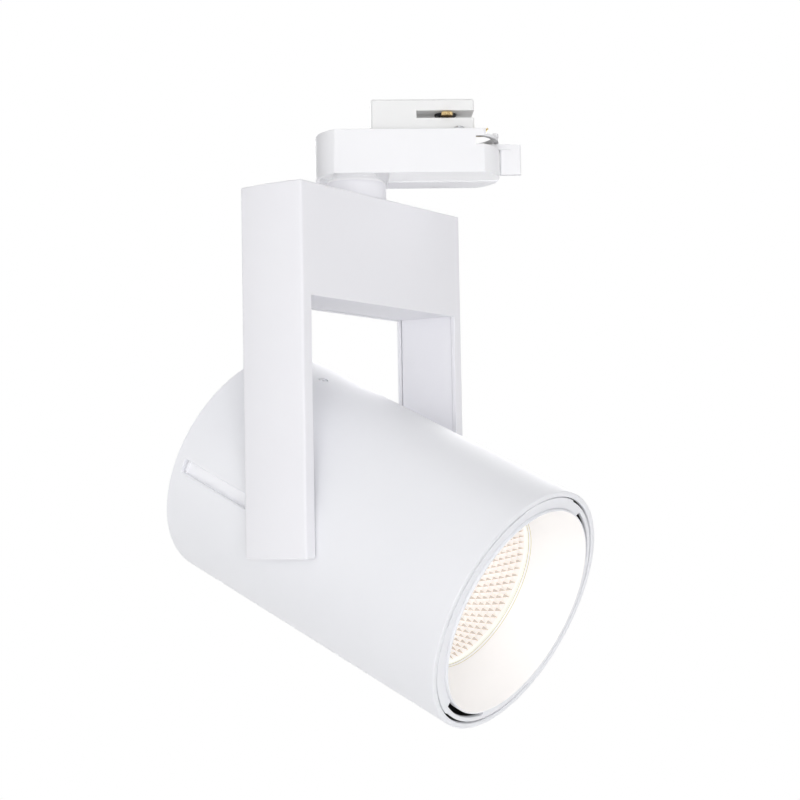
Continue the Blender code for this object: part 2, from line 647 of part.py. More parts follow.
def make_bracket():
    bottom = BRACKET_TOP - BRACKET_HEIGHT
    shell = prism("bracket_shell", bracket_plan(), bottom, BRACKET_TOP, WHITE_COAT, swivel)
    soften(shell, BRACKET_SOFT, 2, 35)
    opening = rectangle(-ARM_INNER, ARM_INNER, -BRACKET_HEIGHT - THROUGH, -CROSSBAR_HEIGHT)
    gap = across("bracket_opening", opening, BRACKET_DEPTH)
    cavity_outline = fork_outline(SKIN_INNER, -BRACKET_SKIN, ARM_INNER - HOLLOW_OVERLAP,
                                  -CROSSBAR_HEIGHT - HOLLOW_OVERLAP, -BRACKET_HEIGHT + BRACKET_SKIN)
    cavity = across("bracket_cavity", cavity_outline, BRACKET_DEPTH / 2 - BRACKET_WALL)
    hole = prism("bracket_nipple_hole", circle(NIPPLE_HOLE_RADIUS, SMALL), BRACKET_TOP - NIPPLE_BELOW,
                 BRACKET_TOP + NIPPLE_BELOW, None, swivel)
    cut(shell, gap, cavity, hole)

    cover_outline = fork_outline(COVER_FACE + COVER_THICKNESS, -CROSSBAR_HEIGHT + COVER_INSET + COVER_THICKNESS,
                                 COVER_FACE, -CROSSBAR_HEIGHT + COVER_INSET,
                                 -BRACKET_HEIGHT + BRACKET_SKIN + GAP)
    cover = across("bracket_cover", cover_outline, BRACKET_DEPTH / 2 - BRACKET_WALL - GAP, WHITE_COAT)
    pin_holes = prism("cover_pivot_holes", circle(PIVOT_BOLT_RADIUS + GAP, SMALL), -BRACKET_HALF_WIDTH,
                      BRACKET_HALF_WIDTH, None, swivel,
                      place=(0, 0, PIVOT_HEIGHT), turn=(0, TURN, 0))
    cut(cover, pin_holes)


def make_driver():
    """Constant-current driver that fills the crossbar below the nipple."""
    length, width, height = DRIVER_SIZE
    low = BRACKET_TOP - CROSSBAR_HEIGHT + COVER_INSET + COVER_THICKNESS + DRIVER_LIFT
    case = box("driver_case", (-length / 2, -width / 2, low), (length / 2, width / 2, low + height - DRIVER_LID),
               DARK_PLASTIC, swivel)
    soften(case, CASE_SOFT, 1, 50)
    box("driver_lid", (-length / 2, -width / 2, low + height - DRIVER_LID + GAP),
        (length / 2, width / 2, low + height), DARK_PLASTIC, swivel)
    for side, label in ((-1, "left"), (1, "right")):
        screw("driver_screw_" + label, 0.0, swivel,
              place=(side * (length / 2 - DRIVER_SCREW_INSET), 0, low + height + GAP))


def make_pivot(side, label):
    """Shoulder bolt, spring washer and slip washer of one tilt pivot, along the bracket's X."""
    def placed(outline, name, look):
        turned(name, outline, look, swivel, steps=SMALL, turn=(0, side * TURN, 0), place=(0, 0, PIVOT_HEIGHT))

    spring_low = COVER_FACE + COVER_THICKNESS + GAP
    spring_high = spring_low + SPRING_WASHER_THICKNESS
    head_low = spring_high + GAP
    head_high = SKIN_INNER - GAP
    tip = BLOCK_BOTTOM + GAP
    slip_low = LAMP_RADIUS + GAP
    bolt = [(0, tip), (PIVOT_BOLT_RADIUS, tip), (PIVOT_BOLT_RADIUS, head_low), (PIVOT_HEAD_RADIUS, head_low),
            (PIVOT_HEAD_RADIUS, head_high), (0, head_high)]
    placed(bolt, "pivot_bolt_" + label, STEEL)
    bore = PIVOT_BOLT_RADIUS + GAP
    placed(tube_outline(bore, PIVOT_HEAD_RADIUS, spring_low, spring_high), "spring_washer_" + label, STEEL)
    slip = tube_outline(bore, SLIP_WASHER_RADIUS, slip_low, COVER_FACE - GAP)
    placed(slip, "slip_washer_" + label, DARK_PLASTIC)


# ---------------------------------------------------------------- slide blocks

def make_slide_block(side, label):
    """T-shaped block that runs in the lamp's side slot and turns on the pivot bolt."""
    neck = SLOT_WIDTH / 2 - GAP
    profile = [(BLOCK_BOTTOM, -BLOCK_HALF_WIDTH), (BLOCK_TOP, -BLOCK_HALF_WIDTH), (BLOCK_TOP, -neck),
               (LAMP_RADIUS, -neck), (LAMP_RADIUS, neck), (BLOCK_TOP, neck), (BLOCK_TOP, BLOCK_HALF_WIDTH),
               (BLOCK_BOTTOM, BLOCK_HALF_WIDTH)]
    outline = [(side * x, y) for x, y in profile]
    block = prism("slide_block_" + label, outline, -BLOCK_HALF_LENGTH, BLOCK_HALF_LENGTH, STEEL, lamp)
    bore = prism("slide_block_bore_" + label, circle(PIVOT_BOLT_RADIUS + RUNNING, SMALL), SHELL_INNER - THROUGH,
                 LAMP_RADIUS + THROUGH, None, lamp, turn=(0, side * TURN, 0))
    cut(block, bore)


def make_rail(side, label):
    """Tray behind the side slot that carries the slide block, closed at the slot's rear end."""
    reach = sqrt(SHELL_INNER ** 2 - RAIL_HALF_WIDTH ** 2) - GAP
    low = RAIL_TOP - RAIL_FLOOR
    outline = rectangle(*sorted((side * low, side * reach)), -RAIL_HALF_WIDTH, RAIL_HALF_WIDTH)
    rail = prism("guide_rail_" + label, outline, SLOT_REAR - RAIL_END, SLOT_FRONT + RAIL_END, WHITE_COAT,
                 lamp)
    inside = rectangle(*sorted((side * RAIL_TOP, side * LAMP_RADIUS)), -RAIL_WALL, RAIL_WALL)
    cut(rail, prism("rail_channel_" + label, inside, SLOT_REAR, SLOT_FRONT + THROUGH, None, lamp))


# ---------------------------------------------------------------- lamp head

def make_tube():
    outline = [(SHELL_INNER, LAMP_REAR), (LAMP_RADIUS - SOFT, LAMP_REAR), (LAMP_RADIUS, LAMP_REAR + SOFT),
               (LAMP_RADIUS, LAMP_FRONT - SOFT), (LAMP_RADIUS - SOFT, LAMP_FRONT), (SHELL_INNER, LAMP_FRONT)]
    tube = turned("head_tube", outline, WHITE_COAT, lamp, steps=LARGE)
    slot = box("tube_side_slots", (-2 * LAMP_RADIUS, -SLOT_WIDTH / 2, SLOT_REAR),
               (2 * LAMP_RADIUS, SLOT_WIDTH / 2, SLOT_FRONT), None, lamp)
    radial = {"place": (0, 0, GRUB_AT), "turn": (TURN, 0, GRUB_ANGLE + TURN)}
    hole = prism("tube_grub_hole", circle(GRUB_HOLE_RADIUS, SMALL), SHELL_INNER - THROUGH, LAMP_RADIUS + THROUGH,
                 None, lamp, **radial)
    cut(tube, slot, hole)
    bottom = SHELL_INNER - GRUB_INNER
    top = LAMP_RADIUS - GRUB_SUNK
    drive = top - GRUB_DRIVE_DEPTH
    grub = [(0, bottom), (GRUB_RADIUS, bottom), (GRUB_RADIUS, top), (GRUB_DRIVE_RADIUS, top),
            (GRUB_DRIVE_RADIUS, drive), (0, drive)]
    turned("grub_screw", grub, STEEL, lamp, steps=SMALL, **radial)


def make_rear_cap():
    low = LAMP_REAR + CAP_RECESS
    edge = SHELL_INNER - GAP
    outline = [(0, low), (edge - SOFT, low), (edge, low + SOFT), (edge, low + CAP_THICKNESS),
               (0, low + CAP_THICKNESS)]
    cap = turned("rear_cap", outline, WHITE_COAT, lamp, steps=LARGE)
    holes = []
    middle = CAP_SCREW_CIRCLE * LAMP_RADIUS
    for index in range(3):
        angle = tau * index / 3 + TURN
        x, y = middle * cos(angle), middle * sin(angle)
        holes.append(prism("cap_screw_hole_%d" % index, circle(CAP_HOLE_RADIUS, SMALL), LAMP_REAR - THROUGH,
                           LAMP_REAR + THROUGH, None, lamp, place=(x, y, 0)))
        screw("cap_screw_%d" % (index + 1), CAP_SCREW_LENGTH, lamp, radius=CAP_SCREW_RADIUS,
              shank=CAP_SHANK_RADIUS, place=(x, y, low - GAP), turn=(pi, 0, 0))
    cut(cap, *holes)


def make_heat_sink():
    outline = []
    for index in range(SINK_FINS):
        middle = tau * (index + 0.5) / SINK_FINS
        root = asin(FIN_THICKNESS / 2 / SINK_CORE)
        tip = asin(FIN_THICKNESS / 2 / SINK_RADIUS)
        for radius, angle in ((SINK_CORE, middle - root), (SINK_RADIUS, middle - tip),
                              (SINK_RADIUS, middle + tip), (SINK_CORE, middle + root)):
            outline.append((radius * cos(angle), radius * sin(angle)))
    high = PLATE_FRONT - PLATE_THICKNESS - GAP
    prism("heat_sink", outline, high - SINK_LENGTH, high, ALUMINIUM, lamp)
    turned("led_mount_plate", [(0, PLATE_FRONT - PLATE_THICKNESS), (SINK_RADIUS, PLATE_FRONT - PLATE_THICKNESS),
                               (SINK_RADIUS, PLATE_FRONT), (0, PLATE_FRONT)], ALUMINIUM, lamp)


def make_light_source():
    """LED board, emitter and holder; gives the level where the reflector's throat starts."""
    level = PLATE_FRONT + GAP
    half = BOARD_SIDE / 2
    box("led_board", (-half, -half, level), (half, half, level + BOARD_THICKNESS), CERAMIC, lamp)
    level += BOARD_THICKNESS + GAP
    emitter_top = level + EMITTER_THICKNESS
    turned("led_emitter", [(0, level), (EMITTER_RADIUS, level), (EMITTER_RADIUS, emitter_top), (0, emitter_top)],
           PHOSPHOR, lamp, steps=SMALL)
    top = level + HOLDER_HEIGHT
    holder = [(THROAT_RADIUS, level), (HOLDER_RADIUS, level), (HOLDER_RADIUS, level + HOLDER_EDGE),
              (THROAT_RADIUS + REFLECTOR_WALL + GAP, top), (THROAT_RADIUS, top)]
    ring = turned("led_holder", holder, WHITE_PLASTIC, lamp)
    holes = []
    for index in range(2):
        angle = pi * index + TURN / 2
        x, y = HOLDER_SCREW_CIRCLE * cos(angle), HOLDER_SCREW_CIRCLE * sin(angle)
        holes.append(prism("holder_screw_hole_%d" % index, circle(SCREW_HOLE_RADIUS, SMALL), level - THROUGH,
                           level + THROUGH, None, lamp, place=(x, y, 0)))
        screw("holder_screw_%d" % (index + 1), SCREW_HEAD_HEIGHT, lamp, place=(x, y, top))
    cut(ring, *holes)
    return top + GAP


def reflector_radius(share):
    """Bowl radius at a share of the way from throat to aperture, a parabola."""
    throat = THROAT_RADIUS ** 2
    return sqrt(throat + (APERTURE_RADIUS ** 2 - throat) * share)


def make_optics(throat_level):
    steps = 8
    depth = REFLECTOR_FRONT - throat_level
    inner = [(reflector_radius(step / steps), throat_level + depth * step / steps) for step in range(steps + 1)]
    outer = [(radius + REFLECTOR_WALL, height) for radius, height in reversed(inner[:-1])]
    flange = APERTURE_RADIUS + FLANGE_WIDTH
    behind = REFLECTOR_FRONT - REFLECTOR_WALL
    rim = [(flange, REFLECTOR_FRONT), (flange, behind), (APERTURE_RADIUS + REFLECTOR_WALL / 2, behind)]
    turned("reflector", inner + rim + outer, SILVER_FACETS, lamp)

    low = REFLECTOR_FRONT + GAP
    high = low + GLASS_THICKNESS
    turned("protective_glass", [(0, low), (flange, low), (flange, high), (0, high)], CLEAR_GLASS, lamp)

    foot = high + GAP
    foot_top = foot + CONE_FOOT
    inner_foot = APERTURE_RADIUS + GAP
    foot_edge = flange + SOFT
    lip_outer = LIP_RADIUS + CONE_WALL
    cone = [(inner_foot, foot), (LIP_RADIUS, LIP_HEIGHT), (lip_outer, LIP_HEIGHT),
            (lip_outer, RING_FRONT - LIP_STRAIGHT), (inner_foot + CONE_FOOT_WIDTH, foot_top),
            (foot_edge, foot_top), (foot_edge, foot)]
    turned("anti_glare_cone", cone, CONE_WHITE, lamp, steps=LARGE)
    seal = tube_outline(flange + GAP, flange + GAP + SEAL_WIDTH, REFLECTOR_FRONT - SEAL_BELOW, high)
    turned("cone_seal", seal, DARK_PLASTIC, lamp)


def make_trim_ring():
    """Flat ring around the cone's lip, with bayonet slots inside and three ears outside."""
    outer = []
    inner = []
    for step in range(LARGE * 2):
        angle = tau * step / (LARGE * 2)
        reach = SHELL_INNER - (GAP if within(angle, EARS) else RING_EDGE_GAP)
        bore = RING_INNER + (BAYONET_DEPTH if within(angle, BAYONETS) else 0)
        outer.append((reach * cos(angle), reach * sin(angle)))
        inner.append((bore * cos(angle), bore * sin(angle)))
    ring_prism("trim_ring", outer, inner, RING_FRONT - RING_THICKNESS, RING_FRONT, WHITE_COAT, lamp)


def within(angle, spans):
    """Whether an angle lies in one of the (middle, half-width) spans."""
    return any(abs((angle - middle + pi) % tau - pi) <= half for middle, half in spans)


make_adapter_housing()
make_top_plate()
make_plate_screws()
make_track_insert()
make_contact_rotor()
make_earth_contact()
make_terminal_block()
make_lever()
make_swivel()
make_bracket()
make_driver()
for hand, hand_name in ((-1, "left"), (1, "right")):
    make_pivot(hand, hand_name)
    make_slide_block(hand, hand_name)
    make_rail(hand, hand_name)
make_tube()
make_rear_cap()
make_heat_sink()
make_optics(make_light_source())
make_trim_ring()
bpy.context.view_layer.update()
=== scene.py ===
"""Looks of the track spotlight: a white lamp head in a fork bracket under its track adapter.

Lengths are in metres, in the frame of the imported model: the origin is on the adapter's seat, X runs
along the track and +Z is up.  Sizes are read from the frame's nodes wherever a node carries them.
"""

import json
from math import asin, cos, pi, radians, sin, sqrt, tan, tau

import bmesh
import bpy
from mathutils import Matrix, Vector


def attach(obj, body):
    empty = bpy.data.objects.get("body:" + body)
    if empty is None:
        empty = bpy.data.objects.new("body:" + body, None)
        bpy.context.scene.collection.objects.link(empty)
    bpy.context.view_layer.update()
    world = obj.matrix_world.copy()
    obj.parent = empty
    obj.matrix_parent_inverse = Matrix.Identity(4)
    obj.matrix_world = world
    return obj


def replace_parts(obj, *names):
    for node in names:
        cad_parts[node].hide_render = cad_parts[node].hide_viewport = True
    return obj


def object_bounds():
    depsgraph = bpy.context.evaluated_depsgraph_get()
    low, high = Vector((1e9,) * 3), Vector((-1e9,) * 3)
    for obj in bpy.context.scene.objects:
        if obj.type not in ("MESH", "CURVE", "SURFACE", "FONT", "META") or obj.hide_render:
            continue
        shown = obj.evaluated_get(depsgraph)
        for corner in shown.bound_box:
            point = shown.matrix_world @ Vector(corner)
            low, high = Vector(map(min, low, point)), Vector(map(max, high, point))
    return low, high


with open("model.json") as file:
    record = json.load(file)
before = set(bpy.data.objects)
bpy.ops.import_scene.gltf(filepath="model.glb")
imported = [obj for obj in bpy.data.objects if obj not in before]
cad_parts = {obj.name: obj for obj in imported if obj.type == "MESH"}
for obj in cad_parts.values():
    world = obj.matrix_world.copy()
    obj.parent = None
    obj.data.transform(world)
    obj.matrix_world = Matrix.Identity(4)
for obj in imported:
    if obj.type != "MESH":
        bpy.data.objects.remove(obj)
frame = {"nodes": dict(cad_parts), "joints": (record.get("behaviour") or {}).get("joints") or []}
cad_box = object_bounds()

UP = Vector((0, 0, 1))
FINE = 96                       # steps round a small turned piece
LARGE = 192                     # steps round the lamp
SMALL = 48                      # steps round a screw
BEYOND = 0.03                   # where a cutter ends when it has to pass clear through a piece
PAST = 0.01                     # how far a cutter stands past the face that it opens


# ---------------------------------------------------------------- the frame's own directions

joints = {joint["name"]: joint for joint in frame["joints"]}
nose = Vector(joints["head_slide"]["axis"]).normalized()
cross = Vector(joints["tilt"]["axis"]).normalized()
pivot = Vector(joints["tilt"]["pos_m"])
lever_axis = Vector(joints["lever_turn"]["pos_m"])


def axes(x, z, place):
    """A matrix whose X and Z are the given directions."""
    return Matrix.Translation(place) @ Matrix((x, z.cross(x), z)).transposed().to_4x4()


WORLD = Matrix.Identity(4)
LEVER = Matrix.Translation(lever_axis)
SWIVEL = axes(cross, UP, Vector((0, 0, 0)))
LAMP = axes(cross, nose, pivot)


def extent(name, place=WORLD):
    """Lowest and highest corner of a node, measured along the axes of a place."""
    back = place.inverted()
    points = [back @ vertex.co for vertex in frame["nodes"][name].data.vertices]
    low = Vector([min(point[axis] for point in points) for axis in range(3)])
    high = Vector([max(point[axis] for point in points) for axis in range(3)])
    return low, high


# ---------------------------------------------------------------- shader node groups

def link(tree, source, target):
    """Join an output socket to an input socket."""
    tree.links.new(source, target)


def node(tree, kind, **settings):
    """A new shader node with its settings."""
    made = tree.nodes.new(kind)
    for name, value in settings.items():
        setattr(made, name, value)
    return made


def new_group(name, inputs, outputs):
    """A shader node group: inputs are (name, default) numbers, outputs are (name, socket type)."""
    tree = bpy.data.node_groups.new(name, "ShaderNodeTree")
    for label, default in inputs:
        socket = tree.interface.new_socket(label, in_out="INPUT", socket_type="NodeSocketFloat")
        socket.default_value = default
    for label, kind in outputs:
        tree.interface.new_socket(label, in_out="OUTPUT", socket_type=kind)
    return tree, node(tree, "NodeGroupInput"), node(tree, "NodeGroupOutput")


def make_stipple_group():
    """Fine relief of a sprayed or moulded skin, and a slow change of tone across it."""
    tree, given, result = new_group(
        "Surface Stipple", [("Grain Scale", 2600.0), ("Tone Scale", 22.0), ("Swell", 0.35)],
        [("Height", "NodeSocketFloat"), ("Tone", "NodeSocketFloat")])
    place = node(tree, "ShaderNodeTexCoord")
    grain = node(tree, "ShaderNodeTexNoise")
    grain.inputs["Detail"].default_value = 2.0
    grain.inputs["Roughness"].default_value = 0.55
    swell_scale = node(tree, "ShaderNodeMath", operation="MULTIPLY")
    swell_scale.inputs[1].default_value = 0.22
    swell = node(tree, "ShaderNodeTexNoise")
    swell.inputs["Detail"].default_value = 1.0
    joined = node(tree, "ShaderNodeMath", operation="MULTIPLY_ADD")
    tone = node(tree, "ShaderNodeTexNoise")
    tone.inputs["Detail"].default_value = 4.0
    link(tree, place.outputs["Object"], grain.inputs["Vector"])
    link(tree, place.outputs["Object"], swell.inputs["Vector"])
    link(tree, place.outputs["Object"], tone.inputs["Vector"])
    link(tree, given.outputs["Grain Scale"], grain.inputs["Scale"])
    link(tree, given.outputs["Grain Scale"], swell_scale.inputs[0])
    link(tree, swell_scale.outputs[0], swell.inputs["Scale"])
    link(tree, given.outputs["Tone Scale"], tone.inputs["Scale"])
    link(tree, swell.outputs["Fac"], joined.inputs[0])
    link(tree, given.outputs["Swell"], joined.inputs[1])
    link(tree, grain.outputs["Fac"], joined.inputs[2])
    link(tree, joined.outputs[0], result.inputs["Height"])
    link(tree, tone.outputs["Fac"], result.inputs["Tone"])
    return tree


def make_brushing_group():
    """Fine lines along one direction, as left by turning, drawing or brushing metal."""
    tree, given, result = new_group(
        "Drawn Lines", [("Line Scale", 900.0), ("Stretch", 0.04)],
        [("Height", "NodeSocketFloat"), ("Sheen", "NodeSocketFloat")])
    place = node(tree, "ShaderNodeTexCoord")
    stretch = node(tree, "ShaderNodeCombineXYZ")
    stretch.inputs["X"].default_value = 1.0
    stretch.inputs["Y"].default_value = 1.0
    squeeze = node(tree, "ShaderNodeVectorMath", operation="MULTIPLY")
    lines = node(tree, "ShaderNodeTexNoise")
    lines.inputs["Detail"].default_value = 3.0
    patches = node(tree, "ShaderNodeTexNoise")
    patches.inputs["Scale"].default_value = 90.0
    link(tree, given.outputs["Stretch"], stretch.inputs["Z"])
    link(tree, place.outputs["Object"], squeeze.inputs[0])
    link(tree, stretch.outputs[0], squeeze.inputs[1])
    link(tree, squeeze.outputs[0], lines.inputs["Vector"])
    link(tree, given.outputs["Line Scale"], lines.inputs["Scale"])
    link(tree, place.outputs["Object"], patches.inputs["Vector"])
    link(tree, lines.outputs["Fac"], result.inputs["Height"])
    link(tree, patches.outputs["Fac"], result.inputs["Sheen"])
    return tree


stipple = make_stipple_group()
drawn_lines = make_brushing_group()


# ---------------------------------------------------------------- materials

def new_material(name, roughness, metallic=0.0):
    """A material with its node tree and its Principled shader."""
    material = bpy.data.materials.new(name)
    material.use_nodes = True
    shader = material.node_tree.nodes["Principled BSDF"]
    shader.inputs["Roughness"].default_value = roughness
    shader.inputs["Metallic"].default_value = metallic
    return material, material.node_tree, shader


def use_group(tree, group, **values):
    """A node group in a material, with the inputs that differ from its defaults."""
    used = node(tree, "ShaderNodeGroup", node_tree=group)
    for name, value in values.items():
        used.inputs[name.replace("_", " ")].default_value = value
    return used


def blend_colours(tree, amount, first, second):
    """Mix two colours by an amount that changes over the surface."""
    mix = node(tree, "ShaderNodeMix", data_type="RGBA")
    mix.inputs["A"].default_value = (*first, 1)
    mix.inputs["B"].default_value = (*second, 1)
    link(tree, amount, mix.inputs["Factor"])
    return mix.outputs["Result"]


def vary(tree, amount, low, high):
    """Turn an amount from 0.3 to 0.7 into a value between low and high."""
    spread = node(tree, "ShaderNodeMapRange")
    spread.inputs["From Min"].default_value = 0.3
    spread.inputs["From Max"].default_value = 0.7
    spread.inputs["To Min"].default_value = low
    spread.inputs["To Max"].default_value = high
    link(tree, amount, spread.inputs["Value"])
    return spread.outputs["Result"]


def emboss(tree, shader, height, strength, depth):
    """Relief of a given depth on a shader's normal."""
    bump = node(tree, "ShaderNodeBump")
    bump.inputs["Strength"].default_value = strength
    bump.inputs["Distance"].default_value = depth
    link(tree, height, bump.inputs["Height"])
    link(tree, bump.outputs["Normal"], shader.inputs["Normal"])


def skin(name, pale, deep, rough_low, rough_high, grain, relief):
    """A painted or moulded skin: stippled relief, faint tone change, uneven gloss."""
    material, tree, shader = new_material(name, rough_low)
    pattern = use_group(tree, stipple, Grain_Scale=grain)
    link(tree, blend_colours(tree, vary(tree, pattern.outputs["Tone"], 0, 1), deep, pale),
         shader.inputs["Base Color"])
    link(tree, vary(tree, pattern.outputs["Tone"], rough_low, rough_high),
         shader.inputs["Roughness"])
    emboss(tree, shader, pattern.outputs["Height"], 0.35, relief)
    return material


def metal(name, bright, dull, roughness, lines, relief, stretch=0.04):
    """Bare metal with fine drawn lines and slightly uneven oxide."""
    material, tree, shader = new_material(name, roughness, 1.0)
    pattern = use_group(tree, drawn_lines, Line_Scale=lines, Stretch=stretch)
    link(tree, blend_colours(tree, vary(tree, pattern.outputs["Sheen"], 0, 1), bright, dull),
         shader.inputs["Base Color"])
    link(tree, vary(tree, pattern.outputs["Height"], roughness * 0.8, roughness * 1.25),
         shader.inputs["Roughness"])
    emboss(tree, shader, pattern.outputs["Height"], 0.25, relief)
    return material


# Skins: pale and deep tone, lowest and highest roughness, grain scale, depth of the relief.
powder_coat = skin("white_powder_coat", (0.865, 0.87, 0.9), (0.85, 0.855, 0.888),
                   0.44, 0.54, 2300, 0.00003)
bracket_coat = skin("white_bracket_coat", (0.865, 0.862, 0.895), (0.85, 0.846, 0.882),
                    0.42, 0.52, 2300, 0.00003)
moulded_white = skin("white_moulded_plastic", (0.885, 0.885, 0.905), (0.87, 0.87, 0.892),
                     0.32, 0.42, 3600, 0.000012)
insert_white = skin("white_insert_plastic", (0.86, 0.86, 0.86), (0.84, 0.84, 0.842),
                    0.38, 0.5, 3000, 0.00002)
seal_white = skin("white_silicone", (0.9, 0.89, 0.87), (0.87, 0.86, 0.84),
                  0.5, 0.6, 1800, 0.00001)
glass_edge = skin("ground_glass_edge", (0.79, 0.77, 0.58), (0.74, 0.72, 0.52),
                  0.3, 0.45, 3000, 0.00001)
black_plastic = skin("black_moulded_plastic", (0.05, 0.05, 0.054), (0.035, 0.035, 0.038),
                     0.45, 0.6, 3000, 0.00002)
# Painted shade: a near-black skin for inner faces that sit in deep shade behind the ring and the cone.
painted_shade_inside = skin("painted_shade_on_inner_faces", (0.045, 0.045, 0.048), (0.03, 0.03, 0.032),
                   0.5, 0.65, 2400, 0.00002)
shaded_plastic = skin("shaded_inner_plastic", (0.66, 0.66, 0.67), (0.6, 0.6, 0.61),
                      0.5, 0.6, 2400, 0.00002)
ceramic = skin("white_board_ceramic", (0.86, 0.86, 0.84), (0.82, 0.82, 0.8),
               0.4, 0.55, 4200, 0.00001)

# Metals: bright and dull tone, roughness, line scale, depth of the relief, stretch along Z.
zinc = metal("zinc_plated_steel", (0.72, 0.73, 0.75), (0.58, 0.59, 0.61), 0.3, 1400, 0.00001, 1.0)
aluminium = metal("extruded_aluminium", (0.8, 0.81, 0.82), (0.7, 0.71, 0.73), 0.36, 1200, 0.00002)
spring_brass = metal("spring_brass", (0.86, 0.66, 0.34), (0.68, 0.5, 0.24), 0.26, 1600, 0.00001, 1.0)


def lit_skin(name, pale, deep, glow, strength, roughness, metallic=0.0):
    """A satin skin with painted light: its own colour and a glow that stands for the light falling on
    it, the lit source's light on the cone, flange and facets, and bounced light in the slot, the pocket
    and on the collar.
    """
    material, tree, shader = new_material(name, roughness, metallic)
    pattern = use_group(tree, stipple, Grain_Scale=2800.0, Tone_Scale=160.0)
    tone = vary(tree, pattern.outputs["Tone"], 0, 1)
    link(tree, blend_colours(tree, tone, deep, pale), shader.inputs["Base Color"])
    link(tree, blend_colours(tree, tone, glow, pale), shader.inputs["Emission Color"])
    link(tree, vary(tree, pattern.outputs["Tone"], roughness * 0.85, roughness * 1.15),
         shader.inputs["Roughness"])
    shader.inputs["Emission Strength"].default_value = strength
    emboss(tree, shader, pattern.outputs["Height"], 0.3, 0.00001)
    return material


def make_glass():
    """Low-iron disc with a faint green body and polishing haze."""
    material, tree, shader = new_material("clear_disc_glass", 0.02)
    shader.inputs["Transmission Weight"].default_value = 1.0
    shader.inputs["IOR"].default_value = 1.46
    pattern = use_group(tree, stipple, Grain_Scale=400.0, Tone_Scale=60.0)
    link(tree, blend_colours(tree, pattern.outputs["Tone"], (0.97, 0.99, 0.96), (0.99, 1.0, 0.985)),
         shader.inputs["Base Color"])
    link(tree, vary(tree, pattern.outputs["Tone"], 0.01, 0.04), shader.inputs["Roughness"])
    return material


def make_phosphor():
    """Lit phosphor of the source: grainy warm yellow under a silicone skin."""
    material, tree, shader = new_material("lit_phosphor", 0.35)
    pattern = use_group(tree, stipple, Grain_Scale=5200.0, Tone_Scale=320.0)
    link(tree, blend_colours(tree, pattern.outputs["Tone"], (0.98, 0.82, 0.36), (0.9, 0.68, 0.2)),
         shader.inputs["Base Color"])
    link(tree, blend_colours(tree, pattern.outputs["Tone"], (1.0, 0.93, 0.84), (1.0, 0.89, 0.76)),
         shader.inputs["Emission Color"])
    shader.inputs["Emission Strength"].default_value = 4.5
    emboss(tree, shader, pattern.outputs["Height"], 0.3, 0.00002)
    return material


# Lit skins, whose glow is painted light: pale and deep tone, colour and strength of the glow, roughness,
# share of metal.
lit_white = lit_skin("lit_satin_white", (0.92, 0.9, 0.89), (0.9, 0.88, 0.87),
                     (1.0, 0.97, 0.96), 0.16, 0.4)
lit_flange = lit_skin("lit_flange_white", (0.95, 0.94, 0.9), (0.92, 0.91, 0.87),
                      (1.0, 0.99, 0.95), 0.75, 0.4)
# Three copies of one facet silver, each with its own painted light: fully lit, half-lit, and in painted
# shade with a warm brown tone.
facet_painted_light = lit_skin("silver_facet_painted_light", (0.88, 0.83, 0.82), (0.84, 0.78, 0.77),
                        (1.0, 0.97, 0.96), 0.54, 0.5, 0.2)
facet_painted_half_light = lit_skin("silver_facet_painted_half_light", (0.8, 0.73, 0.71), (0.76, 0.69, 0.67),
                       (0.99, 0.95, 0.93), 0.46, 0.5, 0.2)
facet_painted_shade = lit_skin("silver_facet_painted_shade", (0.52, 0.44, 0.39), (0.46, 0.38, 0.33),
                       (0.88, 0.82, 0.76), 0.36, 0.5, 0.2)
bounced_white = lit_skin("white_in_bounced_light", (0.88, 0.88, 0.89), (0.86, 0.86, 0.87),
                         (0.97, 0.97, 1.0), 0.1, 0.45)
# Painted light: a glow that lightens the guide rails' strip, which lies in the slot's shade.
slot_painted_light = lit_skin("white_with_painted_light_in_the_slot", (0.9, 0.9, 0.92), (0.88, 0.88, 0.9),
                      (0.96, 0.97, 1.0), 0.12, 0.45)
disc_glass = make_glass()
phosphor = make_phosphor()


# ---------------------------------------------------------------- shapes

def arc(radius, start, end, steps, centre=(0, 0)):
    """Points along an arc, both ends included."""
    angles = [start + (end - start) * step / steps for step in range(steps + 1)]
    return [(centre[0] + radius * cos(angle), centre[1] + radius * sin(angle)) for angle in angles]


def circle(radius, steps=FINE):
    """Closed outline of a circle."""
    return arc(radius, 0, tau, steps)[:-1]


def rounded(corners, steps=4):
    """Closed outline from (x, y, radius) corners, each corner drawn as an arc."""
    outline = []
    for index, (x, y, radius) in enumerate(corners):
        here = Vector((x, y))
        if radius == 0:
            outline.append((x, y))
            continue
        back = (Vector(corners[index - 1][:2]) - here).normalized()
        ahead = (Vector(corners[(index + 1) % len(corners)][:2]) - here).normalized()
        half = back.angle(ahead) / 2
        centre = here + (back + ahead).normalized() * radius / sin(half)
        start = here + back * radius / tan(half) - centre
        end = here + ahead * radius / tan(half) - centre
        sweep = start.angle(end)
        for step in range(steps + 1):
            share = step / steps
            arm = (start * sin((1 - share) * sweep) + end * sin(share * sweep)) / sin(sweep)
            outline.append(tuple(centre + arm))
    return outline


def turned(outline, steps=FINE):
    """Spin a closed outline of (radius, height) points about Z."""
    shape = bmesh.new()
    points = [shape.verts.new((radius, 0, height)) for radius, height in outline]
    edges = []
    for first, second in zip(points, points[1:] + points[:1]):
        on_axis = first.co.x < 1e-9 and second.co.x < 1e-9
        if not on_axis:
            edges.append(shape.edges.new((first, second)))
    bmesh.ops.spin(shape, geom=points + edges, cent=(0, 0, 0), axis=(0, 0, 1), angle=tau, steps=steps,
                   use_merge=True)
    bmesh.ops.remove_doubles(shape, verts=shape.verts, dist=1e-7)
    return shape


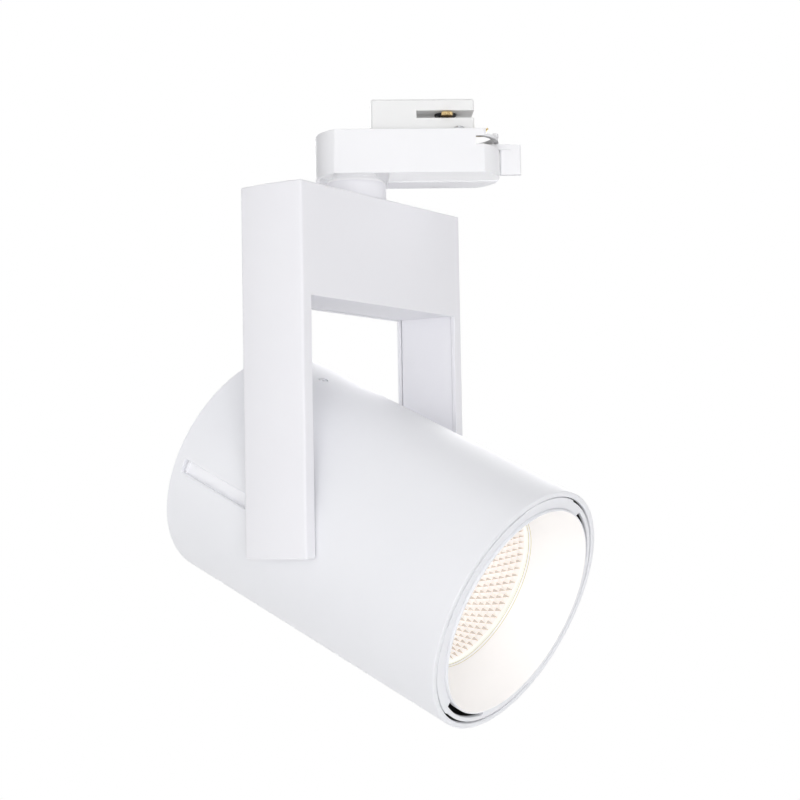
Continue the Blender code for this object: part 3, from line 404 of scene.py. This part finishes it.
def prism(outline, low, high):
    """Extrude a closed (x, y) outline from one height to another."""
    shape = bmesh.new()
    base = shape.faces.new([shape.verts.new((x, y, low)) for x, y in outline])
    lifted = bmesh.ops.extrude_face_region(shape, geom=[base])["geom"]
    rising = [item for item in lifted if isinstance(item, bmesh.types.BMVert)]
    bmesh.ops.translate(shape, verts=rising, vec=(0, 0, high - low))
    return shape


def ring_prism(outer, inner, low, high):
    """A plate with a hole: two outlines with the same number of points."""
    shape = bmesh.new()
    loops = [[shape.verts.new((x, y, height)) for x, y in outline]
             for outline, height in ((outer, low), (outer, high), (inner, high), (inner, low))]
    for index in range(len(outer)):
        following = (index + 1) % len(outer)
        for loop, nearby in zip(loops, loops[1:] + loops[:1]):
            shape.faces.new((loop[index], loop[following], nearby[following], nearby[index]))
    return shape


def block(low, high):
    """A square block between two corners."""
    outline = [(low[0], low[1]), (high[0], low[1]), (high[0], high[1]), (low[0], high[1])]
    return prism(outline, low[2], high[2])


def join_loops(shape, first, second):
    """Faces between two rings of the same number of vertices."""
    for index in range(len(first)):
        following = (index + 1) % len(first)
        shape.faces.new((first[index], first[following], second[following], second[index]))


def to_object(name, shape, place=WORLD):
    """A bmesh as an object whose place is in its mesh, as the frame's nodes are."""
    bmesh.ops.recalc_face_normals(shape, faces=shape.faces)
    mesh = bpy.data.meshes.new(name)
    shape.to_mesh(mesh)
    shape.free()
    mesh.transform(place)
    piece = bpy.data.objects.new(name, mesh)
    bpy.context.scene.collection.objects.link(piece)
    return piece


def soften(piece, width, segments=3, angle=40):
    """Round the edges that turn by more than an angle."""
    bevel = piece.modifiers.new("soft_edges", "BEVEL")
    bevel.width = width
    bevel.segments = segments
    bevel.limit_method = "ANGLE"
    bevel.angle_limit = radians(angle)
    return piece


def combine(piece, operation, *tools):
    """Cut or join closed tools into a piece; the tools go when the piece is settled."""
    for tool in tools:
        boolean = piece.modifiers.new(tool.name, "BOOLEAN")
        boolean.operation = operation
        boolean.solver = "EXACT"
        boolean.object = tool
    return piece


def settle(piece):
    """Apply a piece's modifiers and remove the tools that they used."""
    tools = [modifier.object for modifier in piece.modifiers if modifier.type == "BOOLEAN"]
    graph = bpy.context.evaluated_depsgraph_get()
    piece.data = bpy.data.meshes.new_from_object(piece.evaluated_get(graph))
    piece.modifiers.clear()
    for tool in tools:
        bpy.data.objects.remove(tool, do_unlink=True)
    return piece


def fit(piece, body, material, slot, *nodes, smooth=True):
    """Finish a piece and let it stand for its nodes on a body of the frame."""
    settle(piece)
    if smooth:
        for polygon in piece.data.polygons:
            polygon.use_smooth = True
        piece.data.set_sharp_from_angle(angle=radians(38))
        weighted = piece.modifiers.new("even_shading", "WEIGHTED_NORMAL")
        weighted.keep_sharp = True
    if not piece.data.materials:
        piece.data.materials.append(material)
    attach(piece, body)
    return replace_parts(piece, *nodes)


def paint_where(piece, place, material, chosen):
    """Give a second finish to the faces whose centre and normal, along a place's axes, are chosen."""
    back = place.inverted()
    turn = back.to_3x3()
    piece.data.materials.append(material)
    for polygon in piece.data.polygons:
        if chosen(back @ polygon.center, turn @ polygon.normal):
            polygon.material_index = len(piece.data.materials) - 1


def outward(centre, normal):
    """How far a face looks away from the lamp's axis, from -1 to 1."""
    return Vector((centre.x, centre.y)).normalized().dot(Vector((normal.x, normal.y)))


# ---------------------------------------------------------------- adapter

housing_low, housing_high = extent("adapter_housing")
END_RADIUS = housing_high.x - lever_axis.x          # the lever turns about the centre of its end
HOUSING_WALL = 0.0018
HOUSING_FLOOR = 0.002
HALF_STEP = 0.0004                                  # step between the two halves of the underside
HALF_STEP_Y = 0.002
POCKET_LIP = 0.0014                                 # rim left round the pocket over the collar
POCKET_END = 0.0124
POCKET_DEPTH = 0.0021
NIPPLE_HOLE = 0.0053                                # radius of the hole for the threaded nipple
LEVER_SLOT_SPAN = (radians(-56.6), radians(8))
LEVER_SLOT_CORNERS = [(0.008, 0.002), (0.0044, -0.0067)]
LEVER_SLOT_BELOW = 0.0024                           # slot's lower and upper edge from the arm's top
LEVER_SLOT_ABOVE = 0.0006
NOTCH_SPAN = (radians(-46), radians(-18))
NOTCH_RADIUS = 0.0158
NOTCH_FLOOR = -0.0017
LEVER_THICKNESS = 0.002
LEVER_HUB = 0.0062
LEVER_HALF_WIDTH = 0.0022
LEVER_BORE = 0.0033
TAB_INNER = 0.0199
TAB_HALF_WIDTH = 0.0014
TAB_CORNER = 0.0009
COLLAR_TOP = -0.0161
COLLAR_ROLL = 0.003                                 # radius of the collar's rolled shoulder
COLLAR_BOSS = 0.0082
HAIR = 0.0001                                       # tolerance when a face is told by its place


def adapter_plan(inset=0.0, left=-1.0, right=1.0):
    """Long flat sides and an arc at each end, drawn inward by the inset and held between two limits."""
    radius = END_RADIUS - inset
    spread = asin((housing_high.y - inset) / radius)
    far_end = arc(radius, -spread, spread, 36, (housing_high.x - END_RADIUS, 0))
    near_end = arc(radius, pi - spread, pi + spread, 36, (housing_low.x + END_RADIUS, 0))
    return [(min(max(x, left), right), y) for x, y in far_end + near_end]


def in_adapter_plan(point, inset):
    """Whether a point lies within the adapter's plan drawn inward by the inset."""
    reach = END_RADIUS - inset + HAIR
    ends = (housing_low.x + END_RADIUS, housing_high.x - END_RADIUS)
    return (abs(point.y) < housing_high.y - inset + HAIR
            and Vector((min(point.x - ends[0], 0), point.y)).length < reach
            and Vector((max(point.x - ends[1], 0), point.y)).length < reach)


def make_adapter_housing():
    """Moulded shell with a stepped underside, the collar's pocket, the lever's slot and the notch."""
    bottom = housing_low.z
    ceiling = bottom + HALF_STEP + POCKET_DEPTH
    step_x = POCKET_END + HOUSING_WALL
    arm_top = extent("lever", LEVER)[1].z
    piece = to_object("moulded_adapter_housing", prism(adapter_plan(), bottom, 0))
    soften(piece, 0.0003, 3, 50)
    low_cavity = prism(adapter_plan(HOUSING_WALL, left=step_x),
                       bottom + HOUSING_FLOOR + HALF_STEP, PAST)
    high_cavity = prism(adapter_plan(HOUSING_WALL, right=step_x + 0.001),
                        ceiling + HOUSING_FLOOR, PAST)
    pocket = prism(adapter_plan(POCKET_LIP, right=POCKET_END), -BEYOND, ceiling)
    near_half = block((-BEYOND, -BEYOND, -BEYOND), (0.07, HALF_STEP_Y, bottom + HALF_STEP))
    lever_slot = prism(arc(BEYOND, *LEVER_SLOT_SPAN, 24) + LEVER_SLOT_CORNERS,
                       arm_top - LEVER_SLOT_BELOW, arm_top + LEVER_SLOT_ABOVE)
    notch = prism(arc(BEYOND, *NOTCH_SPAN, 16) + arc(NOTCH_RADIUS, *reversed(NOTCH_SPAN), 16),
                  NOTCH_FLOOR, PAST)
    combine(piece, "DIFFERENCE",
            to_object("low_cavity", low_cavity),
            to_object("high_cavity", high_cavity),
            to_object("swivel_pocket", pocket),
            to_object("near_half", near_half),
            to_object("nipple_hole", prism(circle(NIPPLE_HOLE), -BEYOND, PAST)),
            to_object("lever_slot", lever_slot, LEVER),
            to_object("contact_notch", notch, LEVER))
    settle(piece)
    soften(piece, 0.00012, 2, 55)
    settle(piece)
    piece.data.materials.append(moulded_white)
    paint_where(piece, WORLD, shaded_plastic, lambda centre, normal:
                in_adapter_plan(centre, HOUSING_WALL)
                and bottom + HOUSING_FLOOR < centre.z < -HAIR)
    paint_where(piece, WORLD, bounced_white, lambda centre, normal:
                centre.x < POCKET_END + HAIR
                and in_adapter_plan(centre, POCKET_LIP)
                and centre.z < ceiling + HAIR)
    fit(piece, "adapter", moulded_white, "white_plastic", "adapter_housing")


def make_lever():
    """Locking lever: a flat arm through the slot and a thin hanging thumb tab with soft edges."""
    low, high = extent("lever", LEVER)
    meet = asin(LEVER_HALF_WIDTH / LEVER_HUB)
    reach = (TAB_INNER + high.x) / 2
    arm_outline = arc(LEVER_HUB, meet, tau - meet, 48)
    arm_outline += [(reach, -LEVER_HALF_WIDTH), (reach, LEVER_HALF_WIDTH)]
    tab_outline = rounded([(high.x, TAB_HALF_WIDTH, TAB_CORNER), (TAB_INNER, TAB_HALF_WIDTH, TAB_CORNER),
                           (TAB_INNER, -TAB_HALF_WIDTH, TAB_CORNER),
                           (high.x, -TAB_HALF_WIDTH, TAB_CORNER)], 8)
    arm = to_object("locking_lever", prism(arm_outline, high.z - LEVER_THICKNESS, high.z), LEVER)
    combine(arm, "UNION", to_object("thumb_tab", prism(tab_outline, low.z, high.z), LEVER))
    combine(arm, "DIFFERENCE", to_object("lever_bore", prism(circle(LEVER_BORE), -0.02, PAST), LEVER))
    settle(arm)
    soften(arm, 0.0002, 3, 50)
    fit(arm, "lever", moulded_white, "white_plastic", "lever")


def make_collar():
    """Swivel collar: a rolled shoulder level with the adapter's underside and a boss above it."""
    low, high = extent("swivel_collar", SWIVEL)
    section = rounded([(NIPPLE_HOLE, low.z, 0), (high.x, low.z, 0.0003),
                       (high.x, COLLAR_TOP, COLLAR_ROLL), (COLLAR_BOSS, COLLAR_TOP, 0),
                       (COLLAR_BOSS, high.z, 0.0002), (NIPPLE_HOLE, high.z, 0)], 10)
    collar = to_object("swivel_collar_turned", turned(section, LARGE), SWIVEL)
    collar.data.materials.append(bracket_coat)
    paint_where(collar, SWIVEL, bounced_white, lambda centre, normal:
                normal.z > 0.45 or centre.z > COLLAR_TOP)
    fit(collar, "bracket", bracket_coat, "white_powder_coat", "swivel_collar")


# ---------------------------------------------------------------- bracket

tube_low, tube_high = extent("head_tube", LAMP)
LAMP_RADIUS = tube_high.x
ARM_GAP = 0.0006                                    # from the lamp's side to the arms
BRACKET_WALL = 0.0016
BRACKET_SKIN = 0.0018
BRACKET_OVERLAP = 0.001                             # how far the hollow reaches past the opening
BRACKET_BULGE = 0.0012
COVER_INSET = 0.0004
COVER_THICKNESS = 0.0013
PIVOT_BORE = 0.0018


def make_bracket():
    """Hollow fork with slightly bulged outer sides, and the cover that lines its opening."""
    low, high = extent("bracket_shell", SWIVEL)
    cover_low, cover_high = extent("bracket_cover", SWIVEL)
    arm_inner = LAMP_RADIUS + ARM_GAP
    opening_top = cover_high.z - COVER_THICKNESS - COVER_INSET
    radius = (high.y ** 2 + BRACKET_BULGE ** 2) / (2 * BRACKET_BULGE)
    spread = asin(high.y / radius)
    right = arc(radius, -spread, spread, 16, (high.x - radius, 0))
    plan = right + [(-x, -y) for x, y in right]
    shell = to_object("fork_bracket_shell", prism(plan, low.z, high.z), SWIVEL)
    soften(shell, 0.0008, 4, 35)
    opening = to_object("fork_opening", block((-arm_inner, -BEYOND, low.z - PAST),
                                              (arm_inner, BEYOND, opening_top)), SWIVEL)
    depth = high.y - BRACKET_WALL
    skin_inner = high.x - BRACKET_SKIN
    skin_top = high.z - BRACKET_SKIN
    floor = low.z + BRACKET_SKIN
    hollow_x = arm_inner - BRACKET_OVERLAP
    hollow_z = opening_top - BRACKET_OVERLAP
    hollow_outline = [(-skin_inner, floor), (-hollow_x, floor), (-hollow_x, hollow_z),
                      (hollow_x, hollow_z), (hollow_x, floor), (skin_inner, floor),
                      (skin_inner, skin_top), (-skin_inner, skin_top)]
    stand = SWIVEL @ Matrix.Rotation(pi / 2, 4, "X")
    hollow = to_object("fork_hollow", prism(hollow_outline, -depth, depth), stand)
    hole = to_object("fork_nipple_hole", prism(circle(NIPPLE_HOLE), high.z - PAST, high.z + PAST),
                     SWIVEL)
    combine(shell, "DIFFERENCE", opening, hollow, hole)
    settle(shell)
    soften(shell, 0.00022, 2, 50)
    fit(shell, "bracket", bracket_coat, "white_powder_coat", "bracket_shell")

    face = arm_inner + COVER_INSET
    back = cover_high.x
    ceiling = opening_top + COVER_INSET
    foot, top = cover_low.z, cover_high.z
    cover_outline = [(-back, foot), (-face, foot), (-face, ceiling), (face, ceiling),
                     (face, foot), (back, foot), (back, top), (-back, top)]
    cover = to_object("fork_cover", prism(cover_outline, cover_low.y, cover_high.y), stand)
    across = axes(UP, cross, pivot)
    bore = to_object("cover_bores", prism(circle(PIVOT_BORE), -2 * BEYOND, 2 * BEYOND), across)
    combine(cover, "DIFFERENCE", bore)
    settle(cover)
    soften(cover, 0.00025, 2, 50)
    fit(cover, "bracket", bracket_coat, "white_powder_coat", "bracket_cover")


# ---------------------------------------------------------------- lamp head

WALL = 0.002
SLOT_HALF = 0.0025
SLOT_REAR = tube_low.z + 0.0042
SLOT_FRONT = extent("slide_block_left", LAMP)[1].z + 0.0003
GRUB_HOLE = 0.0018
GRUB_RADIUS = 0.0016
GRUB_LENGTH = 0.0034
GRUB_SUNK = 0.0003
GRUB_DRIVE = 0.0006
CAP_HOLE = 0.0015
APERTURE = 0.0295                                   # radius of the reflector's mouth


def make_tube():
    """Tube wall laid out as a grid with the two side slots left open, then thickened inward."""
    edge = asin(SLOT_HALF / LAMP_RADIUS)
    step = tau / LARGE
    stations = []
    for index in range(LARGE):
        angle = index * step
        from_slot = min((angle % pi), pi - (angle % pi))
        near = abs(from_slot - edge) < step * 0.5
        if near:
            side = 1 if (angle % pi) < pi / 2 else -1
            angle = round(angle / pi) * pi + side * edge
        stations.append(angle)
    ring_back = extent("trim_ring", LAMP)[0].z
    levels = [tube_low.z, SLOT_REAR, SLOT_FRONT, ring_back, tube_high.z]
    shape = bmesh.new()
    grid = [[shape.verts.new((LAMP_RADIUS * cos(angle), LAMP_RADIUS * sin(angle), level))
             for level in levels] for angle in stations]
    for index, column in enumerate(grid):
        following = grid[(index + 1) % LARGE]
        middle = (stations[index] + (stations[(index + 1) % LARGE] or tau)) / 2
        beside_slot = abs(sin(middle)) < sin(edge)
        for row in range(len(levels) - 1):
            if beside_slot and row == 1:
                continue
            shape.faces.new((column[row], following[row], following[row + 1], column[row + 1]))
    tube = to_object("lamp_tube", shape, LAMP)
    wall = tube.modifiers.new("wall", "SOLIDIFY")
    wall.thickness = WALL
    wall.offset = -1
    wall.use_even_offset = True
    settle(tube)
    soften(tube, 0.00045, 3, 60)
    settle(tube)
    tube.data.materials.append(powder_coat)
    beside_rails = 0.007
    # Painted shade: the tube's inner wall behind the ring, clear of the rails, is made near-black.
    paint_where(tube, LAMP, painted_shade_inside, lambda centre, normal:
                centre.z < ring_back
                and outward(centre, normal) < -0.5
                and abs(centre.y) > beside_rails)
    grub_low, grub_high = extent("grub_screw", LAMP)
    middle = (grub_low + grub_high) / 2
    aim = Vector((middle.x, middle.y, 0)).normalized()
    hole_place = LAMP @ axes(UP, aim, Vector((0, 0, middle.z)))
    hole = to_object("grub_hole", prism(circle(GRUB_HOLE, SMALL), LAMP_RADIUS - PAST,
                                        LAMP_RADIUS + PAST), hole_place)
    combine(tube, "DIFFERENCE", hole)
    fit(tube, "head", powder_coat, "white_powder_coat", "head_tube")

    top = LAMP_RADIUS - GRUB_SUNK
    section = [(0, top - GRUB_LENGTH), (GRUB_RADIUS - 0.0001, top - GRUB_LENGTH),
               (GRUB_RADIUS, top - 0.0003), (GRUB_RADIUS - 0.0003, top), (0, top)]
    grub = to_object("grub_screw_turned", turned(section, SMALL), hole_place)
    drive = to_object("grub_drive", prism(circle(GRUB_DRIVE, 6), top - 0.0008, top + PAST), hole_place)
    combine(grub, "DIFFERENCE", drive)
    fit(grub, "head", powder_coat, "zinc_steel", "grub_screw")


def make_rear_cap():
    """Flat cap sunk in the rear of the tube, held by three button screws."""
    low, high = extent("rear_cap", LAMP)
    section = rounded([(0, low.z, 0), (high.x, low.z, 0.0004), (high.x, high.z, 0.0003),
                       (0, high.z, 0)])
    cap = to_object("rear_cap_disc", turned(section, LARGE), LAMP)
    for index in (1, 2, 3):
        name = "cap_screw_%d" % index
        screw_low, screw_high = extent(name, LAMP)
        middle = (screw_low + screw_high) / 2
        seat = LAMP @ Matrix.Translation((middle.x, middle.y, 0))
        hole = prism(circle(CAP_HOLE, SMALL), low.z - PAST, high.z + PAST)
        combine(cap, "DIFFERENCE", to_object("cap_hole_%d" % index, hole, seat))
        radius = (screw_high.x - screw_low.x) / 2
        make_button_screw(name, seat, screw_low.z, screw_high.z, radius, "head")
    fit(cap, "head", powder_coat, "white_powder_coat", "rear_cap")


def make_button_screw(name, place, head_end, tip, radius, body):
    """Button-head screw with a hexagonal drive; its head is at head_end and its shank runs to tip."""
    way = 1 if tip > head_end else -1
    seat = head_end + way * 0.0012
    shank = radius * 0.45
    drive = radius * 0.45
    dome = [(radius * cos(angle), seat - (seat - head_end) * sin(angle))
            for angle in [pi / 2 * step / 10 for step in range(10)]]
    outline = [(0, tip), (shank, tip - way * 0.0002), (shank, seat)] + dome + [(0, head_end)]
    piece = to_object(name + "_turned", turned(outline, SMALL), place)
    low, high = sorted((head_end - way * PAST, head_end + way * 0.0008))
    combine(piece, "DIFFERENCE", to_object("screw_drive", prism(circle(drive, 6), low, high), place))
    fit(piece, body, zinc, "zinc_steel", name)


FACET_SIDE = 1                                      # places of the facets' painted light and painted shade on the piece
FACET_SHADE = 2


def make_reflector():
    """Deep bowl of staggered diamond facets, each a low pyramid, with a flat flange under the glass."""
    low, high = extent("reflector", LAMP)
    throat, aperture = 0.0083, APERTURE
    around = 64                                     # facets in each row
    wall = 0.001
    lift = 0.12                                     # pyramid height as a share of the facet's width
    slimness = 0.75                                 # row pitch as a share of the facet's width
    depth = high.z - low.z
    growth = (aperture ** 2 - throat ** 2) / (2 * depth)

    def bowl(height):
        return sqrt(throat ** 2 + 2 * growth * (height - low.z))

    def ring(shape, radius, height, shift=0.0):
        angles = [tau * (step + shift) / around for step in range(around)]
        return [shape.verts.new((radius * cos(angle), radius * sin(angle), height)) for angle in angles]

    levels = [high.z]
    while levels[-1] > low.z:
        radius = bowl(levels[-1])
        pitch = slimness * tau * radius / around / sqrt(1 + (growth / radius) ** 2)
        levels.append(max(levels[-1] - pitch, low.z))
    levels.reverse()
    if len(levels) % 2 == 0:                        # both rims then have their corners in line
        del levels[1]

    shape = bmesh.new()
    rings = [ring(shape, bowl(level), level, 0.5 * (row % 2)) for row, level in enumerate(levels)]
    for row in range(1, len(levels) - 1):
        for step in range(around):
            beside = (step + row % 2) % around
            left, right = rings[row][step], rings[row][(step + 1) % around]
            if row % 2 == 0:
                under, over = rings[row - 1][step], rings[row + 1][step]
            else:
                under, over = rings[row - 1][beside], rings[row + 1][beside]
            middle = (left.co + right.co + under.co + over.co) / 4
            inward = Vector((-middle.x, -middle.y, 0)).normalized()
            peak = shape.verts.new(middle + inward * lift * (left.co - right.co).length)
            # Of the four faces round each peak, one is painted lit, two half-lit and one in painted
            # shade.
            shape.faces.new((under, right, peak))
            shape.faces.new((left, under, peak)).material_index = FACET_SIDE
            shape.faces.new((right, over, peak)).material_index = FACET_SIDE
            shape.faces.new((over, left, peak)).material_index = FACET_SHADE
    for edge_row, inner_row in ((0, 1), (len(levels) - 1, len(levels) - 2)):
        for step in range(around):
            shape.faces.new((rings[edge_row][step], rings[edge_row][(step + 1) % around],
                             rings[inner_row][step]))
    back = [(high.x, high.z), (high.x, high.z - wall), (aperture + wall, high.z - wall)]
    for share in (0.8, 0.6, 0.4, 0.2, 0.1, 0):
        height = low.z + depth * share
        back.append((bowl(height) + wall, height))
    before = rings[-1]
    for radius, height in back:
        loop = ring(shape, radius, height)
        join_loops(shape, before, loop)
        before = loop
    join_loops(shape, before, rings[0])
    piece = to_object("faceted_reflector", shape, LAMP)
    # The facets' painted light, half-light and shade.
    for finish in (facet_painted_light, facet_painted_half_light, facet_painted_shade):
        piece.data.materials.append(finish)
    paint_where(piece, LAMP, lit_flange, lambda centre, normal:
                centre.z > high.z - wall / 4
                and Vector((centre.x, centre.y)).length > aperture)
    fit(piece, "head", facet_painted_light, "reflector_silver", "reflector", smooth=False)


def make_cone():
    """Anti-glare cone with a rolled lip standing a little proud of the trim ring.

    At its foot the inside shows the ground edge of the glass as two fine lines.
    """
    low, high = extent("anti_glare_cone", LAMP)
    ring_face = extent("trim_ring", LAMP)[1].z
    aperture = APERTURE + 0.0003
    wall = 0.0007
    foot_edge = extent("protective_glass", LAMP)[1].x + 0.0004
    foot_width = 0.0052
    straight = ring_face - 0.0019
    lip_outer = high.x
    lip_inner = lip_outer - wall
    foot_top = low.z + 0.0012
    opening = (lip_inner - aperture) / (high.z - low.z)
    lines = (0.0001, 0.00035, 0.0009, 0.00115)
    foot_lines = [(aperture + opening * height, low.z + height) for height in lines]
    section = [(aperture, low.z)] + foot_lines + rounded([
        (lip_inner, high.z, 0.00025), (lip_outer, high.z, 0.00025), (lip_outer, straight, 0.0006),
        (aperture + foot_width, foot_top, 0.0006), (foot_edge, foot_top, 0.0002),
        (foot_edge, low.z, 0)], 5)
    cone = to_object("anti_glare_cone_spun", turned(section, LARGE), LAMP)
    cone.data.materials.append(powder_coat)
    paint_where(cone, LAMP, lit_white, lambda centre, normal:
                outward(centre, normal) < -0.3
                or centre.z < low.z + HAIR)
    paint_where(cone, LAMP, glass_edge, lambda centre, normal:
                outward(centre, normal) < -0.3
                and (lines[0] < centre.z - low.z < lines[1] or lines[2] < centre.z - low.z < lines[3]))
    # Painted shade: the cone's outer wall below the lip, in shade behind the ring, is made near-black.
    paint_where(cone, LAMP, painted_shade_inside, lambda centre, normal:
                low.z + HAIR < centre.z < straight - 0.0008
                and outward(centre, normal) > -0.3)
    fit(cone, "head", powder_coat, "reflective_white", "anti_glare_cone")


def make_glass_disc():
    """Polished disc with fine ground chamfers round its edge."""
    low, high = extent("protective_glass", LAMP)
    chamfer = 0.0003
    section = [(0, low.z), (high.x - chamfer, low.z), (high.x, low.z + chamfer),
               (high.x, high.z - chamfer), (high.x - chamfer, high.z), (0, high.z)]
    glass = to_object("clear_glass_disc", turned(section, LARGE), LAMP)
    glass.data.materials.append(disc_glass)
    paint_where(glass, LAMP, glass_edge, lambda centre, normal: abs(normal.z) < 0.9)
    fit(glass, "head", disc_glass, "clear_glass", "protective_glass")


def make_trim_ring():
    """Flat ring round the lip: three ears towards the tube, two bayonet slots towards the cone."""
    low, high = extent("trim_ring", LAMP)
    ear = LAMP_RADIUS - WALL - 0.0003
    plain = LAMP_RADIUS - WALL - 0.0008
    bore = extent("anti_glare_cone", LAMP)[1].x + 0.00006
    slot = 0.0018
    # Middle and half width of each ear and each slot.
    ears = ((radians(98), radians(21)), (radians(212), radians(28)), (radians(320), radians(6)))
    slots = ((radians(-104), radians(20)), (radians(46), radians(20)))
    ramp = radians(0.8)

    def within(angle, spans):
        """1 inside a span, 0 outside, with a short soft ramp at its ends."""
        past = min(abs((angle - middle + pi) % tau - pi) - half for middle, half in spans)
        return min(max(0.5 - past / ramp, 0), 1)

    steps = 720
    outer, inner = [], []
    for step in range(steps):
        angle = tau * step / steps
        reach = plain + (ear - plain) * within(angle, ears)
        mouth = bore + slot * within(angle, slots)
        outer.append((reach * cos(angle), reach * sin(angle)))
        inner.append((mouth * cos(angle), mouth * sin(angle)))
    ring = to_object("bayonet_trim_ring", ring_prism(outer, inner, low.z, high.z), LAMP)
    soften(ring, 0.00015, 2, 50)
    settle(ring)
    ring.data.materials.append(powder_coat)
    # Painted shade: the ring's back face, which sits in shade, is made near-black.
    paint_where(ring, LAMP, painted_shade_inside, lambda centre, normal: normal.z < -0.5)
    fit(ring, "head", powder_coat, "white_powder_coat", "trim_ring")


def make_source():
    """Round lit phosphor patch with a raised silicone dam on its board."""
    low, high = extent("led_emitter", LAMP)
    dam = 0.0007
    patch_top = high.z - 0.00025
    section = rounded([(0, low.z, 0), (high.x, low.z, 0), (high.x, high.z, 0.0002),
                       (high.x - dam, high.z, 0.0002), (high.x - dam, patch_top, 0),
                       (0, patch_top, 0)])
    source = to_object("lit_source", turned(section), LAMP)
    source.data.materials.append(ceramic)
    paint_where(source, LAMP, phosphor, lambda centre, normal:
                normal.z > 0.5
                and Vector((centre.x, centre.y)).length < high.x - dam)
    fit(source, "head", ceramic, "led_phosphor", "led_emitter")


make_adapter_housing()
make_lever()
make_collar()
make_bracket()
make_tube()
make_rear_cap()
make_reflector()
make_cone()
make_glass_disc()
make_trim_ring()
make_source()


# ---------------------------------------------------------------- finishes on the frame's own nodes

node_finishes = {
    # The guide rails take painted light, which lightens their strip in the slot's shade.
    slot_painted_light: ["guide_rail_left", "guide_rail_right"],
    insert_white: ["track_insert", "adapter_top_plate", "terminal_block", "led_holder"],
    black_plastic: ["contact_rotor", "friction_washer", "driver_case", "driver_lid",
                    "slip_washer_left", "slip_washer_right"],
    seal_white: ["cone_seal"],
    spring_brass: ["line_contact_blade", "neutral_contact_blade", "earth_contact"],
    zinc: ["plate_screw_1", "plate_screw_2", "terminal_screw_1", "terminal_screw_2", "terminal_screw_3",
           "lever_screw", "threaded_nipple", "stop_washer", "swivel_nut", "bracket_nut", "stop_pin",
           "driver_screw_left", "driver_screw_right", "pivot_bolt_left", "pivot_bolt_right",
           "spring_washer_left", "spring_washer_right", "slide_block_left", "slide_block_right",
           "holder_screw_1", "holder_screw_2"],
    aluminium: ["heat_sink", "led_mount_plate"],
    ceramic: ["led_board"],
}
for finish, names in node_finishes.items():
    for name in names:
        for socket in frame["nodes"][name].material_slots:
            socket.material = finish


# ---------------------------------------------------------------- studio

CAMERA_PLACE = Vector((-0.0149, -0.6251, -0.1365))
CAMERA_HEADING = -0.0480
CAMERA_LIFT = 0.0620
CAMERA_ROLL = -0.0183
CAMERA_LENS = 76.8


def make_camera():
    """Camera a little below the lamp's middle, looking slightly up."""
    data = bpy.data.cameras.new("camera")
    data.lens = CAMERA_LENS
    data.sensor_width = 36.0
    data.clip_start = 0.01
    camera = bpy.data.objects.new("camera", data)
    bpy.context.scene.collection.objects.link(camera)
    camera.matrix_world = (Matrix.Translation(CAMERA_PLACE) @ Matrix.Rotation(CAMERA_HEADING, 4, "Z")
                           @ Matrix.Rotation(pi / 2 + CAMERA_LIFT, 4, "X")
                           @ Matrix.Rotation(CAMERA_ROLL, 4, "Z"))
    bpy.context.scene.camera = camera


def white_for_camera(tree, lit, white, surface):
    """Show plain white to the camera and the lit shader to everything else."""
    path = node(tree, "ShaderNodeLightPath")
    choose = node(tree, "ShaderNodeMixShader")
    link(tree, path.outputs["Is Camera Ray"], choose.inputs["Fac"])
    link(tree, lit.outputs[0], choose.inputs[1])
    link(tree, white.outputs[0], choose.inputs[2])
    link(tree, choose.outputs[0], surface)


def make_sky():
    """White studio: plain white behind the object and a low even light all round."""
    world = bpy.data.worlds.new("studio")
    bpy.context.scene.world = world
    world.use_nodes = True
    tree = world.node_tree
    light = tree.nodes["Background"]
    light.inputs["Color"].default_value = (1, 1, 1, 1)
    light.inputs["Strength"].default_value = 0.215
    white = node(tree, "ShaderNodeBackground")
    white.inputs["Color"].default_value = (1, 1, 1, 1)
    white_for_camera(tree, light, white, tree.nodes["World Output"].inputs["Surface"])


def make_soft_boxes():
    """Large square lights round the lamp: where each stands, and its power in watts."""
    middle = Vector((0, 0, (cad_box[0].z + cad_box[1].z) / 2))
    distance = 1.7
    boxes = {"front_low": ((0, -1, -0.22), 18.6), "front_top": ((0, -1, 1), 5.7),
             "front_left": ((-1, -1, 0.15), 2.7), "front_right": ((1, -1, 0.15), 3.0),
             "left": ((-1, 0, 0.1), 4.0), "right": ((1, 0.1, 0.1), 4.8),
             "top": ((0, -0.15, 1), 5.3), "back": ((0, 1, 0.4), 23.0)}
    for name, (direction, power) in boxes.items():
        data = bpy.data.lights.new(name, "AREA")
        data.energy = power
        data.size = 1.3
        away = Vector(direction).normalized()
        box = bpy.data.objects.new(name, data)
        bpy.context.scene.collection.objects.link(box)
        box.location = middle + away * distance
        box.rotation_euler = (-away).to_track_quat("-Z", "Y").to_euler()
        box.visible_camera = False


def make_floor():
    """Pale floor far below the lamp."""
    shape = bmesh.new()
    bmesh.ops.create_grid(shape, x_segments=8, y_segments=8, size=2.5)
    floor = to_object("studio_floor", shape, Matrix.Translation((0, 0, cad_box[0].z - 0.35)))
    material, tree, shader = new_material("pale_floor", 0.8)
    pattern = use_group(tree, stipple, Grain_Scale=120.0, Tone_Scale=1.2)
    link(tree, blend_colours(tree, pattern.outputs["Tone"], (0.93, 0.93, 0.93), (0.95, 0.95, 0.95)),
         shader.inputs["Base Color"])
    white = node(tree, "ShaderNodeEmission")
    white_for_camera(tree, shader, white, tree.nodes["Material Output"].inputs["Surface"])
    floor.data.materials.append(material)


make_camera()
make_sky()
make_soft_boxes()
make_floor()
bpy.context.scene.view_settings.view_transform = "Standard"
